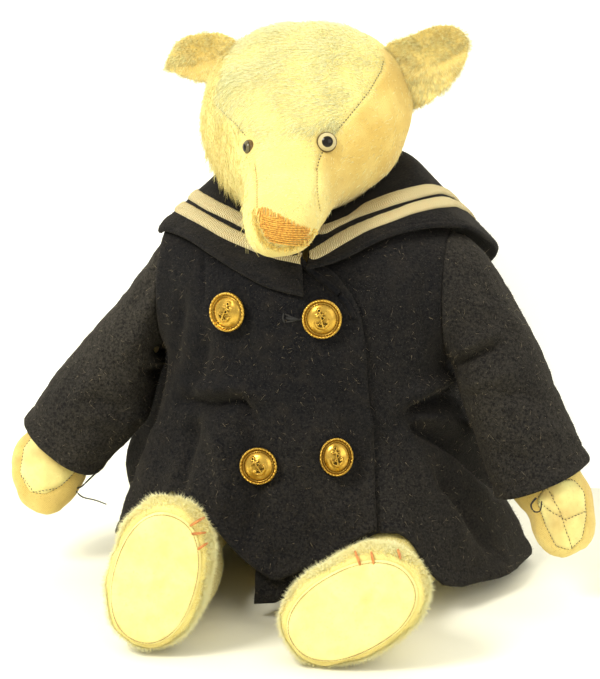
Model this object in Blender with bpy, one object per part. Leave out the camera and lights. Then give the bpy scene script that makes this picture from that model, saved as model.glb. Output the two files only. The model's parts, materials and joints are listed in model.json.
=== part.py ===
"""Seated teddy bear of mohair and linen in a navy wool sailor coat with brass buttons.

The bear sits on z = 0 and faces -Y. The wearer's left is +X. Lengths in this file are in
millimetres and are turned into metres where the meshes are made.
"""

import math

import bmesh
import bpy
import numpy as np
from mathutils import Matrix, Vector
from mathutils.bvhtree import BVHTree

# Fits and scale
metresPerUnit = 0.001
clearance = 0.3
sceneBlank = list(bpy.data.objects)

# Head, in its own frame: forward along the snout, up through the crown
headCentre = Vector((-2.4, 0.0, 203.0))
headPitch = math.radians(23.0)
headRoll = math.radians(4.5)
neckPlane = -30.0
cheekTaper = {"left": 0.18, "right": 0.05}
headSections = [
    # forward, half width, half height, height of the centre
    (-46.5, 6.0, 5.0, -2.0),
    (-44.0, 16.0, 14.0, -2.0),
    (-38.0, 28.0, 24.0, -2.0),
    (-26.0, 39.0, 33.0, -1.0),
    (-10.0, 45.0, 37.0, 0.0),
    (6.0, 45.0, 37.0, -1.0),
    (20.0, 40.0, 33.5, -2.0),
    (32.0, 31.5, 28.0, -2.5),
    (43.0, 23.5, 22.5, -3.0),
    (54.0, 19.0, 19.0, -3.5),
    (66.0, 17.0, 17.0, -3.5),
    (78.0, 15.5, 15.0, -3.0),
    (86.0, 12.5, 12.0, -2.5),
    (90.5, 7.5, 7.5, -2.0),
    (92.0, 3.0, 3.0, -2.0),
]
eyeForward = 44.0
eyeUp = 14.0
eyeAside = 17.0
eyeRadius = 4.4
eyeWireRadius = 0.7
eyeWireLength = 8.0
noseForward = 82.0
noseUp = 4.0
noseHalfWidth = 11.5
noseHalfHeight = 9.0
noseThickness = 1.1
ears = {
    "left": {"centre": (46.5, 6.0, 226.5), "radius": 19.0, "flat": 0.95},
    "right": {"centre": (-48.0, 6.0, 223.5), "radius": 17.5, "flat": 0.74},
}
earLean = 0.6
earTurn = 0.15
earThickness = 5.0
earCup = 5.0

# Torso: height, half width, centre behind the origin, half depth
torsoSections = [
    (0.0, 25.0, 4.0, 24.0),
    (2.5, 31.0, 4.0, 31.0),
    (9.0, 36.0, 4.0, 36.5),
    (24.0, 39.5, 4.0, 41.0),
    (46.0, 41.5, 3.0, 43.0),
    (70.0, 42.5, 1.0, 44.0),
    (95.0, 41.5, -1.0, 42.0),
    (118.0, 40.5, -2.0, 37.0),
    (135.0, 40.0, 0.0, 32.0),
    (147.0, 36.5, 4.0, 29.0),
]
neckHalfWidth = 22.5
shoulderFlat = 38.0
hipFlat = 34.0
hipReach = 35.0

# Joints
shoulderY = -8.0
shoulderZ = 128.0
hipY = -2.0
hipZ = 30.0
discRadius = 11.0
discThickness = 2.0
washerRadius = 5.0
washerThickness = 0.8
pinRadius = 1.0
pinHeadRadius = 2.4
pinHeadThickness = 1.2
fabricWall = 1.2
shoulderReach = 28.0
hipRise = 32.0

# Arms: the shoulder lobe, then the paw below the cuff; the sleeve gives what lies between.
# Out, forward, up, half width across, half depth, lean of the section in degrees
shoulderSections = [
    (38.6, -8.0, 128.0, 14.0, 14.0, 0.0),
    (40.5, -8.0, 128.0, 18.0, 18.0, 0.0),
    (49.0, -8.0, 128.0, 20.0, 20.0, 0.0),
    (60.0, -8.2, 128.0, 19.5, 19.5, 2.0),
]
armInSleeve = 1.4
armHalfDepth = 17.0
pawSections = {
    "left": [
        (114.6, -30.5, 43.5, 14.6, 14.0, 69.0),
        (117.0, -34.0, 35.5, 13.8, 12.8, 73.0),
        (119.0, -37.0, 28.5, 11.5, 10.5, 76.0),
        (120.0, -38.5, 24.5, 6.5, 6.0, 76.0),
    ],
    "right": [
        (111.5, -28.5, 49.0, 17.4, 14.2, 60.0),
        (114.0, -31.5, 42.0, 16.3, 13.2, 58.0),
        (116.5, -34.0, 35.5, 12.6, 10.4, 57.0),
        (118.0, -35.5, 31.5, 6.8, 6.0, 57.0),
    ],
}

# Legs, lying forward on the floor: forward, out, up, half width, half height
legSections = [
    (25.0, 49.0, 30.0, 8.0, 9.0),
    (21.0, 49.5, 30.0, 14.0, 17.0),
    (11.0, 50.0, 30.0, 17.0, 25.0),
    (-4.0, 50.5, 29.8, 18.2, 28.3),
    (-20.0, 51.0, 28.0, 18.2, 26.4),
    (-36.0, 50.6, 25.0, 16.3, 23.5),
    (-52.0, 46.8, 21.8, 16.6, 20.5),
    (-70.0, 42.5, 18.8, 16.3, 17.2),
    (-92.0, 41.0, 18.5, 16.0, 16.8),
]
footSections = [
    # forward, share of the lift towards the pad's centre, half width, half length
    (-106.0, 0.35, 17.5, 20.0),
    (-117.0, 0.75, 20.0, 28.0),
    (-127.0, 1.0, 21.3, 33.4),
    (-133.0, 1.0, 20.9, 33.0),
    (-136.5, 1.0, 18.6, 30.3),
]
footLeft = {"centre": (42.4, 26.6), "roll": 57.0}
footRight = {"centre": (-38.4, 35.0), "roll": 16.0}
padHalfWidth = 17.0
padHalfLength = 28.0
padThickness = 1.4
pawPad = {
    "left": (114.5, -30.0, 42.0),
    "right": (112.0, -29.0, 47.5),
    "halfWidth": 11.0,
    "halfHeight": 14.0,
    "lean": 0.42,
}
patchReach = 26.0

# Coat: half width to the wearer's right and left, front, back, heights, squareness
coatWall = 2.2
coatLevels = [
    # right, left, front, back, front height, side height, back height, squareness
    (40.0, 40.0, -47.0, 42.0, 150.0, 168.0, 174.0, 2.2),
    (50.0, 51.0, -52.5, 47.0, 143.0, 156.5, 163.0, 2.6),
    (60.5, 61.5, -55.5, 50.0, 132.0, 150.0, 147.0, 3.4),
    (62.2, 62.6, -57.0, 52.0, 117.0, 122.0, 120.0, 3.8),
    (61.0, 62.3, -60.0, 53.0, 92.0, 96.0, 92.0, 3.4),
    (68.0, 69.0, -65.0, 57.5, 64.0, 66.0, 62.0, 2.8),
    (79.0, 82.0, -73.0, 64.0, 38.0, 36.0, 32.0, 2.4),
    (87.0, 97.0, -80.0, 71.0, 18.0, 9.0, 1.2, 2.2),
]
armholeRadius = 24.5
armholeInner = 48.0
armholeOuter = 80.0
chestBow = 4.0
rearBulge = [0.0, 0.0, 0.0, 2.0, 6.0, 12.0, 9.0, -2.0]
sleeveGap = 0.5
sleeveWall = 2.2
frontOverlap = 3.0
collarLift = 1.5
neckEdgeDrop = 34.0
collarWall = 2.2
collarNeck = (27.0, 34.6)
collarRim = (40.0, 31.2)
collarRimBack = 33.0
collarBorder = 7.6
stripeWidth = 5.6
stripeGap = 2.8
stripeThickness = 0.8
collarColumns = 58
collarStations = [
    # angle round the neck from the front, then the outer edge: out, forward, up
    (6, 8.5, -56.6, 146.6),
    (18, 17.5, -54.5, 149.0),
    (30, 26.0, -48.5, 152.0),
    (41, 35.0, -39.5, 156.0),
    (51, 44.0, -31.5, 158.5),
    (62, 53.0, -24.0, 159.5),
    (72, 62.0, -16.5, 159.0),
    (82, 70.5, -8.0, 156.5),
    (95, 75.5, 6.0, 150.0),
    (110, 76.5, 25.0, 144.0),
    (126, 76.0, 45.0, 136.0),
    (140, 69.0, 62.0, 126.0),
    (156, 45.0, 67.5, 120.0),
    (180, 0.0, 68.0, 117.0),
    (204, -42.0, 67.5, 120.0),
    (220, -62.0, 62.0, 126.0),
    (234, -68.5, 45.0, 136.0),
    (250, -69.5, 25.0, 144.0),
    (264, -69.0, 6.0, 149.0),
    (277, -66.0, -9.0, 150.5),
    (287, -61.0, -20.0, 152.5),
    (297, -54.0, -28.5, 153.5),
    (307, -46.0, -36.5, 152.5),
    (317, -37.5, -44.5, 150.0),
    (327, -28.5, -51.5, 147.0),
    (337, -18.5, -57.5, 143.5),
    (347, -8.5, -61.5, 140.0),
    (354, 0.5, -63.0, 138.0),
    (358, 6.5, -63.5, 137.5),
]
napeDrop = 7.0
underlapEdge = -95.0
edgeOut = [3.5, 19.0, 29.0, 33.0, 35.0, 39.0, 41.0, 43.0]

# Sleeves: top out, top up, low out, low up, centre forward, half depth
sleeveSections = {
    "left": [
        (63.4, 155.0, 63.4, 101.0, -8.0, 27.0),
        (75.5, 148.0, 64.8, 99.0, -9.0, 26.5),
        (88.0, 131.5, 67.0, 92.0, -11.0, 25.5),
        (100.0, 111.5, 71.5, 81.0, -14.0, 24.0),
        (110.5, 92.0, 77.0, 68.0, -18.0, 22.5),
        (119.0, 75.0, 82.0, 55.5, -22.5, 21.5),
        (126.0, 61.5, 87.5, 44.5, -27.0, 20.8),
    ],
    "right": [
        (63.4, 150.0, 63.4, 101.0, -8.0, 26.0),
        (72.0, 137.5, 64.6, 98.5, -10.0, 26.0),
        (83.5, 122.0, 66.0, 90.0, -13.0, 25.5),
        (96.0, 107.0, 68.8, 78.5, -16.0, 24.0),
        (107.5, 93.0, 74.0, 66.0, -19.0, 23.0),
        (117.0, 79.5, 81.0, 54.5, -21.5, 22.0),
        (125.0, 67.5, 89.0, 44.0, -24.0, 21.3),
    ],
}

# Buttons on the front: out and up on the cloth
buttonPlaces = {
    "button_upper_right": (-24.8, 127.6),
    "button_upper_left": (14.9, 126.8),
    "button_lower_right": (-8.8, 64.4),
    "button_lower_left": (23.4, 69.1),
}
buttonRadius = 9.1
buttonDome = 4.6

# Finishes: colour, roughness, metallic
finishes = {
    "mohair": ((0.72, 0.60, 0.36), 0.95, 0.0),
    "linen": ((0.76, 0.66, 0.42), 0.92, 0.0),
    "felt": ((0.86, 0.81, 0.58), 0.95, 0.0),
    "navyWool": ((0.018, 0.022, 0.045), 0.95, 0.0),
    "braid": ((0.85, 0.76, 0.58), 0.9, 0.0),
    "brass": ((0.72, 0.50, 0.14), 0.32, 1.0),
    "glass": ((0.05, 0.05, 0.05), 0.05, 0.0),
    "thread": ((0.62, 0.28, 0.08), 0.9, 0.0),
    "card": ((0.45, 0.34, 0.22), 0.9, 0.0),
    "steel": ((0.42, 0.41, 0.40), 0.4, 1.0),
}
finishCache = {}


def finish(kind):
    """The one material that each kind of surface shares."""
    if kind not in finishCache:
        colour, roughness, metallic = finishes[kind]
        material = bpy.data.materials.new(kind)
        material.use_nodes = True
        shader = material.node_tree.nodes["Principled BSDF"]
        shader.inputs["Base Color"].default_value = (*colour, 1.0)
        shader.inputs["Roughness"].default_value = roughness
        shader.inputs["Metallic"].default_value = metallic
        finishCache[kind] = material
    return finishCache[kind]


def makeObject(name, points, faces, kind, smooth=True):
    """A closed mesh object from points in millimetres."""
    mesh = bpy.data.meshes.new(name)
    scaled = [tuple(float(c) * metresPerUnit for c in p) for p in points]
    mesh.from_pydata(scaled, [], [tuple(f) for f in faces])
    body = bmesh.new()
    body.from_mesh(mesh)
    bmesh.ops.recalc_face_normals(body, faces=body.faces)
    body.to_mesh(mesh)
    body.free()
    mesh.polygons.foreach_set("use_smooth", [smooth] * len(mesh.polygons))
    item = bpy.data.objects.new(name, mesh)
    bpy.context.collection.objects.link(item)
    item.data.materials.append(finish(kind))
    return item


def superRing(centre, across, upward, halfAcross, halfUp, square=2.2, count=28):
    """Points of a rounded outline about a centre."""
    ring = []
    for i in range(count):
        angle = 2 * math.pi * i / count
        c = math.cos(angle)
        s = math.sin(angle)
        x = math.copysign(abs(c) ** (2 / square), c) * halfAcross
        y = math.copysign(abs(s) ** (2 / square), s) * halfUp
        ring.append(Vector(centre) + Vector(across) * x + Vector(upward) * y)
    return ring


def loft(rings):
    """Points and faces of a closed body through rings, with flat ends."""
    count = len(rings[0])
    points = [p for ring in rings for p in ring]
    faces = []
    for r in range(len(rings) - 1):
        for i in range(count):
            j = (i + 1) % count
            a = r * count
            b = a + count
            faces.append((a + i, a + j, b + j, b + i))
    faces.append(tuple(range(count)))
    last = (len(rings) - 1) * count
    faces.append(tuple(reversed(range(last, last + count))))
    return points, faces


def tube(outer, inner):
    """Points and faces of an open tube with a wall between two sets of rings."""
    rings = list(outer) + list(reversed(inner))
    count = len(rings[0])
    points = [p for ring in rings for p in ring]
    faces = []
    for r in range(len(rings)):
        for i in range(count):
            j = (i + 1) % count
            a = r * count
            b = ((r + 1) % len(rings)) * count
            faces.append((a + i, a + j, b + j, b + i))
    return points, faces


def sheetBody(outer, inner):
    """Points and faces of a closed sheet from two grids of rows."""
    rows = len(outer)
    columns = len(outer[0])
    points = [p for row in outer for p in row] + [p for row in inner for p in row]
    half = rows * columns
    faces = []
    for r in range(rows - 1):
        for c in range(columns - 1):
            a = r * columns + c
            b = a + columns
            faces.append((a, a + 1, b + 1, b))
            faces.append((half + a, half + b, half + b + 1, half + a + 1))
    for c in range(columns - 1):
        low = (rows - 1) * columns + c
        faces.append((c, half + c, half + c + 1, c + 1))
        faces.append((low, low + 1, half + low + 1, half + low))
    for r in range(rows - 1):
        a = r * columns
        b = a + columns
        faces.append((a, b, half + b, half + a))
        e = a + columns - 1
        f = b + columns - 1
        faces.append((e, half + e, half + f, f))
    return points, faces


def cylinder(name, start, end, radius, kind, count=24):
    """A plain round pin or disc between two points."""
    axis = (Vector(end) - Vector(start)).normalized()
    across = axis.orthogonal().normalized()
    upward = axis.cross(across)
    rings = [superRing(p, across, upward, radius, radius, 2.0, count) for p in (start, end)]
    item = makeObject(name, *loft(rings), kind, smooth=False)
    return item


def combine(item, other, how):
    """Cuts, joins or crosses one body with another and removes the second."""
    change = item.modifiers.new(how.lower(), "BOOLEAN")
    change.operation = how
    change.solver = "EXACT"
    change.object = other
    graph = bpy.context.evaluated_depsgraph_get()
    graph.update()
    done = bpy.data.meshes.new_from_object(item.evaluated_get(graph))
    item.modifiers.clear()
    old = item.data
    item.data = done
    done.name = item.name
    bpy.data.meshes.remove(old)
    bpy.data.objects.remove(other, do_unlink=True)
    return item


def cut(item, other):
    return combine(item, other, "DIFFERENCE")


def keep(item, other):
    return combine(item, other, "INTERSECT")


def grown(item, distance, name="growth"):
    """A copy of a body that is larger all round by a distance."""
    copy = item.copy()
    copy.data = item.data.copy()
    copy.name = name
    bpy.context.collection.objects.link(copy)
    body = bmesh.new()
    body.from_mesh(copy.data)
    bmesh.ops.remove_doubles(body, verts=body.verts, dist=1e-7)
    body.normal_update()
    for vertex in body.verts:
        vertex.co += vertex.normal * distance * metresPerUnit * vertex.calc_shell_factor()
    body.to_mesh(copy.data)
    body.free()
    return copy


def blend(a, b, t):
    return a + (b - a) * t


def smoothStep(low, high, value):
    t = min(1.0, max(0.0, (value - low) / (high - low)))
    return t * t * (3 - 2 * t)


def alongCurve(rows, t):
    """A smooth value between rows of numbers, with t from 0 to 1."""
    last = len(rows) - 1
    place = min(max(t, 0.0), 1.0) * last
    k = min(int(place), last - 1)
    u = place - k
    p = [np.array(rows[min(max(k + d, 0), last)], float) for d in (-1, 0, 1, 2)]
    tangentA = (p[2] - p[0]) / 2
    tangentB = (p[3] - p[1]) / 2
    h1 = 2 * u**3 - 3 * u**2 + 1
    h2 = -2 * u**3 + 3 * u**2
    h3 = u**3 - 2 * u**2 + u
    h4 = u**3 - u**2
    return h1 * p[1] + h2 * p[2] + h3 * tangentA + h4 * tangentB


# Head frame
tilt = Matrix.Rotation(-headRoll, 3, "Y") @ Matrix.Rotation(headPitch, 3, "X")
headForward = tilt @ Vector((0, -1, 0))
headUp = tilt @ Vector((0, 0, 1))
headAside = tilt @ Vector((1, 0, 0))


def inHead(aside, forward, up):
    return headCentre + headAside * aside + headForward * forward + headUp * up


def underHead(x, y, drop):
    """The height of a plane that the turning head clears by a drop below its centre."""
    aside = headUp.x * (x - headCentre.x)
    back = headUp.y * (y - headCentre.y)
    return headCentre.z - (drop + aside + back) / headUp.z


def headBody(name, growth):
    """The stuffed head, or a larger copy of it for cutting what sits on it."""
    rings = []
    for forward, halfWidth, halfHeight, height in headSections:
        place = inHead(0, forward + growth * math.copysign(1, forward), height)
        ring = superRing(
            place, headAside, headUp, halfWidth + growth, halfHeight + growth, 2.25, 32
        )
        fade = 1 - smoothStep(eyeForward * 0.72, eyeForward * 1.32, forward)
        for k, point in enumerate(ring):
            aside = (point - place).dot(headAside)
            below = max(0.0, -(point - place).dot(headUp) / (halfHeight + growth))
            taper = cheekTaper["left"] if aside > 0 else cheekTaper["right"]
            ring[k] = point - headAside * aside * taper * below * fade
        rings.append(ring)
    return makeObject(name, *loft(rings), "linen")


def halfSpace(name, point, normal, size=coatLevels[-1][1] * 1.6):
    """A large block on the far side of a plane."""
    normal = Vector(normal).normalized()
    across = normal.orthogonal().normalized()
    upward = normal.cross(across)
    rings = []
    for p in (Vector(point), Vector(point) + normal * size):
        ring = []
        for x, y in ((1, 1), (-1, 1), (-1, -1), (1, -1)):
            ring.append(p + across * size * x + upward * size * y)
        rings.append(ring)
    return makeObject(name, *loft(rings), "card", smooth=False)


def hardware(name, centre, axis, first, second):
    """Discs, washers and cotter pin of one joint, with pockets in both stuffed pieces.

    The axis points from the first piece to the second.
    """
    centre = Vector(centre)
    axis = Vector(axis).normalized()
    half = clearance / 2
    stack = discThickness + washerThickness + pinHeadThickness + 4 * clearance
    for piece, side, tag in ((first, -1, "inner"), (second, 1, "outer")):
        along = axis * side
        start = centre + along * (half + fabricWall)
        pocket = cylinder(
            "pocket", start, start + along * stack, discRadius + clearance, "card", 20
        )
        cut(piece, pocket)
        hole = cylinder(
            "hole", centre - along * 2, start + along * 1, pinRadius + clearance, "card", 8
        )
        cut(piece, hole)
        for label, radius, thickness, kind, count in (
            ("disc", discRadius, discThickness, "card", 20),
            ("washer", washerRadius, washerThickness, "steel", 12),
        ):
            start = start + along * clearance
            item = cylinder(
                f"{label}_{tag}_{name}", start, start + along * thickness, radius, kind, count
            )
            bore = cylinder(
                "bore",
                start - along * 1,
                start + along * (thickness + 1),
                pinRadius + clearance,
                "card",
                8,
            )
            cut(item, bore)
            start = start + along * thickness
    reach = half + fabricWall + discThickness + washerThickness + 3 * clearance
    rings = []
    across = axis.orthogonal().normalized()
    upward = axis.cross(across)
    for distance, radius in (
        (-reach - pinHeadThickness, pinHeadRadius),
        (-reach, pinHeadRadius),
        (-reach, pinRadius),
        (reach, pinRadius),
        (reach, pinHeadRadius),
        (reach + pinHeadThickness, pinHeadRadius),
    ):
        rings.append(
            superRing(centre + axis * distance, across, upward, radius, radius, 2.0, 8)
        )
    makeObject(f"cotter_pin_{name}", *loft(rings), "steel", smooth=False)


def buildTorso():
    """The straw-stuffed body with a flat seat and a leaning neck."""
    rings = []
    for height, halfWidth, back, halfDepth in torsoSections:
        rings.append(
            superRing((0, back, height), (1, 0, 0), (0, 1, 0), halfWidth, halfDepth, 2.4, 30)
        )
    top = inHead(0, 0, neckPlane - clearance / 2)
    lower = inHead(0, 0, neckPlane - 8)
    flatForward = Vector((0, 1, 0)) - headUp * headUp.y
    flatForward.normalize()
    flatAside = flatForward.cross(headUp)
    rings.append(
        superRing(lower, flatAside, flatForward, neckHalfWidth + 1.5, neckHalfWidth, 2.1, 30)
    )
    rings.append(
        superRing(
            top - headUp * 2.0, flatAside, flatForward, neckHalfWidth, neckHalfWidth - 1, 2.0, 30
        )
    )
    rings.append(
        superRing(top, flatAside, flatForward, neckHalfWidth - 3, neckHalfWidth - 4, 2.0, 30)
    )
    torso = makeObject("torso", *loft(rings), "linen")
    for side in (1, -1):
        block = halfSpace("flat", (side * shoulderFlat, 0, shoulderZ), (side, 0, 0))
        low = halfSpace("low", (0, 0, shoulderZ - shoulderReach), (0, 0, -1), coatLevels[-1][1] * 3.2)
        cut(block, low)
        cut(torso, block)
        block = halfSpace("flat", (side * hipFlat, 0, hipZ), (side, 0, 0))
        high = halfSpace("high", (0, 0, hipZ + hipRise), (0, 0, 1), coatLevels[-1][1] * 3.2)
        cut(block, high)
        cut(torso, block)
    return torso


def armBody(name, side, label, growth):
    """A stuffed arm, or a larger copy of it for cutting what sits on it."""
    rings = []
    inside = []
    for station in sleeveSections[label][1:]:
        centre, inPlane, half, depth = sleeveStation(station, 1)
        lean = math.degrees(math.atan2(inPlane.x, inPlane.z))
        half = half - sleeveWall - armInSleeve
        depth = min(depth - sleeveWall - armInSleeve, armHalfDepth)
        inside.append((centre.x, centre.y, centre.z, half, depth, lean))
    for out, forward, up, half, depth, lean in shoulderSections + inside + pawSections[label]:
        a = math.radians(lean)
        inPlane = (side * math.sin(a), 0, math.cos(a))
        rings.append(
            superRing(
                (side * out, forward, up),
                inPlane,
                (0, 1, 0),
                half + growth,
                depth + growth,
                2.1,
                20,
            )
        )
    return makeObject(name, *loft(rings), "mohair")


def patch(name, larger, smaller, centre, axis, upward, halfWidth, halfHeight, kind):
    """A thin pad over a stuffed piece, cut from the space between two of its copies."""
    axis = Vector(axis).normalized()
    upward = (Vector(upward) - axis * axis.dot(Vector(upward))).normalized()
    across = upward.cross(axis)
    start = Vector(centre)
    rings = []
    for distance in (0.0, patchReach):
        place = start + axis * distance
        rings.append(superRing(place, across, upward, halfWidth, halfHeight, 2.3, 24))
    block = makeObject(name, *loft(rings), kind)
    keep(block, larger)
    cut(block, smaller)
    block.data.materials.clear()
    block.data.materials.append(finish(kind))
    return block


def legRings(side, foot, growth=0.0):
    rings = []
    for forward, out, up, half, tall in legSections:
        rings.append(
            superRing(
                (side * out, forward, up), (1, 0, 0), (0, 0, 1), half + growth, tall + growth
            )
        )
    roll = math.radians(foot["roll"])
    upward = Vector((math.sin(roll), 0, math.cos(roll)))
    across = Vector((math.cos(roll), 0, -math.sin(roll)))
    forward, out, up, half, tall = legSections[-1]
    start = Vector((side * out, 0, up))
    goal = Vector((foot["centre"][0], 0, foot["centre"][1]))
    for forward, share, half, tall in footSections:
        centre = start.lerp(goal, share)
        centre.y = forward
        turn = upward if share == 1.0 else Vector((0, 0, 1)).lerp(upward, share).normalized()
        sideways = across if share == 1.0 else Vector((turn.z, 0, -turn.x))
        rings.append(superRing(centre, sideways, turn, half + growth, tall + growth))
    return rings, across, upward, goal


def buildLeg(side, label, foot):
    rings, across, upward, goal = legRings(side, foot)
    leg = makeObject(f"leg_{label}", *loft(rings), "mohair")
    inner = halfSpace("flat", (side * (hipFlat + clearance), 0, hipZ), (-side, 0, 0))
    cut(inner, halfSpace("front", (0, -hipReach, 0), (0, -1, 0), coatLevels[-1][1] * 3.2))
    cut(leg, inner)
    front = footSections[-1][0] - clearance
    padRings = []
    for depth, shrink in ((0.0, 0.4), (padThickness * 0.6, 0.0), (padThickness, 1.2)):
        centre = Vector((goal.x, front - depth, goal.z))
        padRings.append(
            superRing(
                centre, across, upward, padHalfWidth - shrink, padHalfLength - shrink, 2.2, 32
            )
        )
    makeObject(f"foot_pad_{label}", *loft(padRings), "felt")
    return leg


def fold(theta, t):
    """How far the wool stands out or in at an angle and height on the coat."""
    lift = 0.0
    skirt = smoothStep(0.45, 1.0, t)
    lift += 2.2 * skirt * math.sin(math.radians(theta) * 7 + 0.8)
    lift += 1.4 * skirt * math.sin(math.radians(theta) * 11 + 2.1 + 3 * t)
    return lift


hemPlaces = [
    # angle, height of the hem
    (-97, 4.0),
    (-90, 5.0),
    (-75, 32.0),
    (-58, 46.5),
    (-40, 31.0),
    (-12, 15.0),
    (30, 6.0),
    (90, 1.2),
    (150, 3.0),
    (188, 8.0),
    (215, 26.0),
    (236, 50.0),
    (248, 47.0),
    (262, 26.0),
    (270, 17.0),
    (283, 30.0),
    (300, 45.0),
    (320, 40.0),
]


def hemHeight(theta):
    angles = [p[0] for p in hemPlaces]
    heights = [p[1] for p in hemPlaces]
    return float(np.interp(theta, angles, heights))


def coatBase(theta, t):
    """A point of the wool's outer face before the overlap is lifted."""
    right, left, front, back, zFront, zSide, zBack, square = alongCurve(coatLevels, t)
    a = math.radians(theta)
    c = math.cos(a)
    s = math.sin(a)
    halfWidth = left if c > 0 else right
    halfDepth = -front if s < 0 else back
    x = math.copysign(abs(c) ** (2 / square), c) * halfWidth
    y = math.copysign(abs(s) ** (2 / square), s) * halfDepth
    if s < 0:
        bow = smoothStep(0.08, 0.3, t) * (1 - smoothStep(0.6, 0.9, t)) * smoothStep(0.2, 0.8, -s)
        y -= chestBow * bow * math.cos(0.9 * math.pi * abs(x) / halfWidth)
    if s > 0 and c < 0:
        behind = smoothStep(0.1, 0.45, s) * (1 - smoothStep(0.75, 1.0, s))
        x -= float(alongCurve([[v] for v in rearBulge], t)[0]) * behind
    share = abs(s) ** 2
    z = blend(zSide, zFront if s < 0 else zBack, share)
    hem = hemHeight(theta)
    natural = blend(coatLevels[-1][5], coatLevels[-1][4] if s < 0 else coatLevels[-1][6], share)
    z += (hem - natural) * smoothStep(0.6, 1.0, t)
    neckEdge = underHead(x, y, neckEdgeDrop + napeDrop * max(s, 0.0) ** 2)
    z = blend(neckEdge, z, smoothStep(0.0, 0.22, t))
    radial = Vector((x, y, 0)).normalized()
    return Vector((x, y, z)) + radial * fold(theta, t)


def coatSurface(theta, t, lift=0.0):
    """A point on the coat, lifted along its own normal."""
    step = 0.5
    tiny = 0.004
    across = coatBase(theta + step, t) - coatBase(theta - step, t)
    down = coatBase(theta, min(t + tiny, 1.0)) - coatBase(theta, max(t - tiny, 0.0))
    normal = across.cross(down).normalized() * -1
    return coatBase(theta, t) + normal * lift


def buildCoat():
    """Back, sides and both fronts in one sheet that laps over itself."""
    rowCount = 17
    outer = []
    inner = []
    for r in range(rowCount):
        t = r / (rowCount - 1)
        level = alongCurve(coatLevels, t)
        edge = float(alongCurve([[e] for e in edgeOut], t)[0])
        share = min(0.99, edge / level[1])
        endAngle = 270 + math.degrees(math.asin(share ** (level[7] / 2)))
        angles = list(np.linspace(underlapEdge, 250, 42)) + list(np.linspace(250, endAngle, 8))[1:]
        outRow = []
        inRow = []
        for theta in angles:
            lift = frontOverlap * smoothStep(232, 262, theta)
            outRow.append(coatSurface(theta, t, lift))
            inRow.append(coatSurface(theta, t, lift - coatWall))
        outer.append(outRow)
        inner.append(inRow)
    coat = makeObject("coat_body", *sheetBody(outer, inner), "navyWool")
    for side in (1, -1):
        hole = cylinder(
            "armhole",
            (side * armholeInner, shoulderY, shoulderZ),
            (side * armholeOuter, shoulderY, shoulderZ),
            armholeRadius,
            "card",
            40,
        )
        cut(coat, hole)
    return coat


def sleeveStation(station, side):
    """Centre, direction, half width and half depth of one section of a sleeve."""
    topOut, topUp, lowOut, lowUp, forward, depth = station
    top = Vector((side * topOut, forward, topUp))
    low = Vector((side * lowOut, forward, lowUp))
    return (top + low) / 2, (top - low).normalized(), (top - low).length / 2, depth


def buildSleeve(side, label):
    outer = []
    inner = []
    for station in sleeveSections[label]:
        centre, inPlane, half, depth = sleeveStation(station, side)
        outer.append(superRing(centre, inPlane, (0, 1, 0), half, depth, 2.1, 32))
        inner.append(
            superRing(
                centre, inPlane, (0, 1, 0), half - sleeveWall, depth - sleeveWall, 2.1, 32
            )
        )
    return makeObject(f"sleeve_{label}", *tube(outer, inner), "navyWool")


def coatMouth(angle):
    """How far the coat's neck edge stands from the neck axis at this angle."""
    axis = inHead(0, 0, neckPlane)
    right, left, front, back = coatLevels[0][:4]
    reach = 20.0
    while reach < 90.0:
        place = axis + headForward * math.cos(angle) * reach
        x = reach * math.sin(angle) / (left if angle < math.pi else right)
        y = place.y / (front if place.y < 0 else back)
        if x * x + y * y > 1:
            break
        reach += 0.5
    return reach


def collarProfile(along):
    """The collar's underside from its outer edge over the coat's neck edge to the neck."""
    angle, out, forward, up = (float(v) for v in alongCurve(collarStations, along))
    a = math.radians(angle)
    back = max(-math.cos(a), 0.0)
    nape = napeDrop * back**2
    radius = blend(collarRim[0], collarRimBack, back)
    edge = Vector((out, forward, up))
    rim = inHead(math.sin(a) * radius, math.cos(a) * radius, -collarRim[1] - nape)
    neck = inHead(
        math.sin(a) * collarNeck[0], math.cos(a) * collarNeck[0], -collarNeck[1] - nape
    )
    wide = (edge - inHead(0, 0, neckPlane)).length
    share = (wide - coatMouth(a)) / (wide - radius)
    crest = edge.lerp(rim, min(max(share, 0.1), 0.9))
    drop = (headCentre - crest).dot(headUp)
    crest += headUp * max(0.0, drop - (collarRim[1] + nape))
    return [edge, crest, rim, neck]


def collarLengths(along):
    """From the outer edge to the rim, and to the neck."""
    edge, crest, rim, neck = collarProfile(along)
    first = (crest - edge).length + (rim - crest).length
    return first, first + (neck - rim).length


def collarPlace(along, distance, coatTree):
    """A point under the collar, at a distance in from its outer edge, kept off the coat."""
    path = collarProfile(along)
    place = path[-1]
    for here, ahead in zip(path, path[1:]):
        length = (ahead - here).length
        if distance < length:
            place = here.lerp(ahead, distance / length)
            break
        distance -= length
    core = Vector((0, shoulderY, shoulderZ))
    heading = (place - core).normalized()
    start = core + heading * coatLevels[-1][1] * 1.3
    hit = coatTree.ray_cast(start * metresPerUnit, -heading)
    if hit[0] is not None and hit[3] < (start - core).length * metresPerUnit:
        reach = (hit[0] / metresPerUnit - core).length + collarLift
        if (place - core).length < reach:
            place = core + heading * reach
    for _ in range(3):
        near, normal, _, distance = coatTree.find_nearest(place * metresPerUnit)
        gap = distance / metresPerUnit
        if gap < collarLift:
            place = place + (place - near / metresPerUnit).normalized() * (collarLift - gap)
    return place


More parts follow.
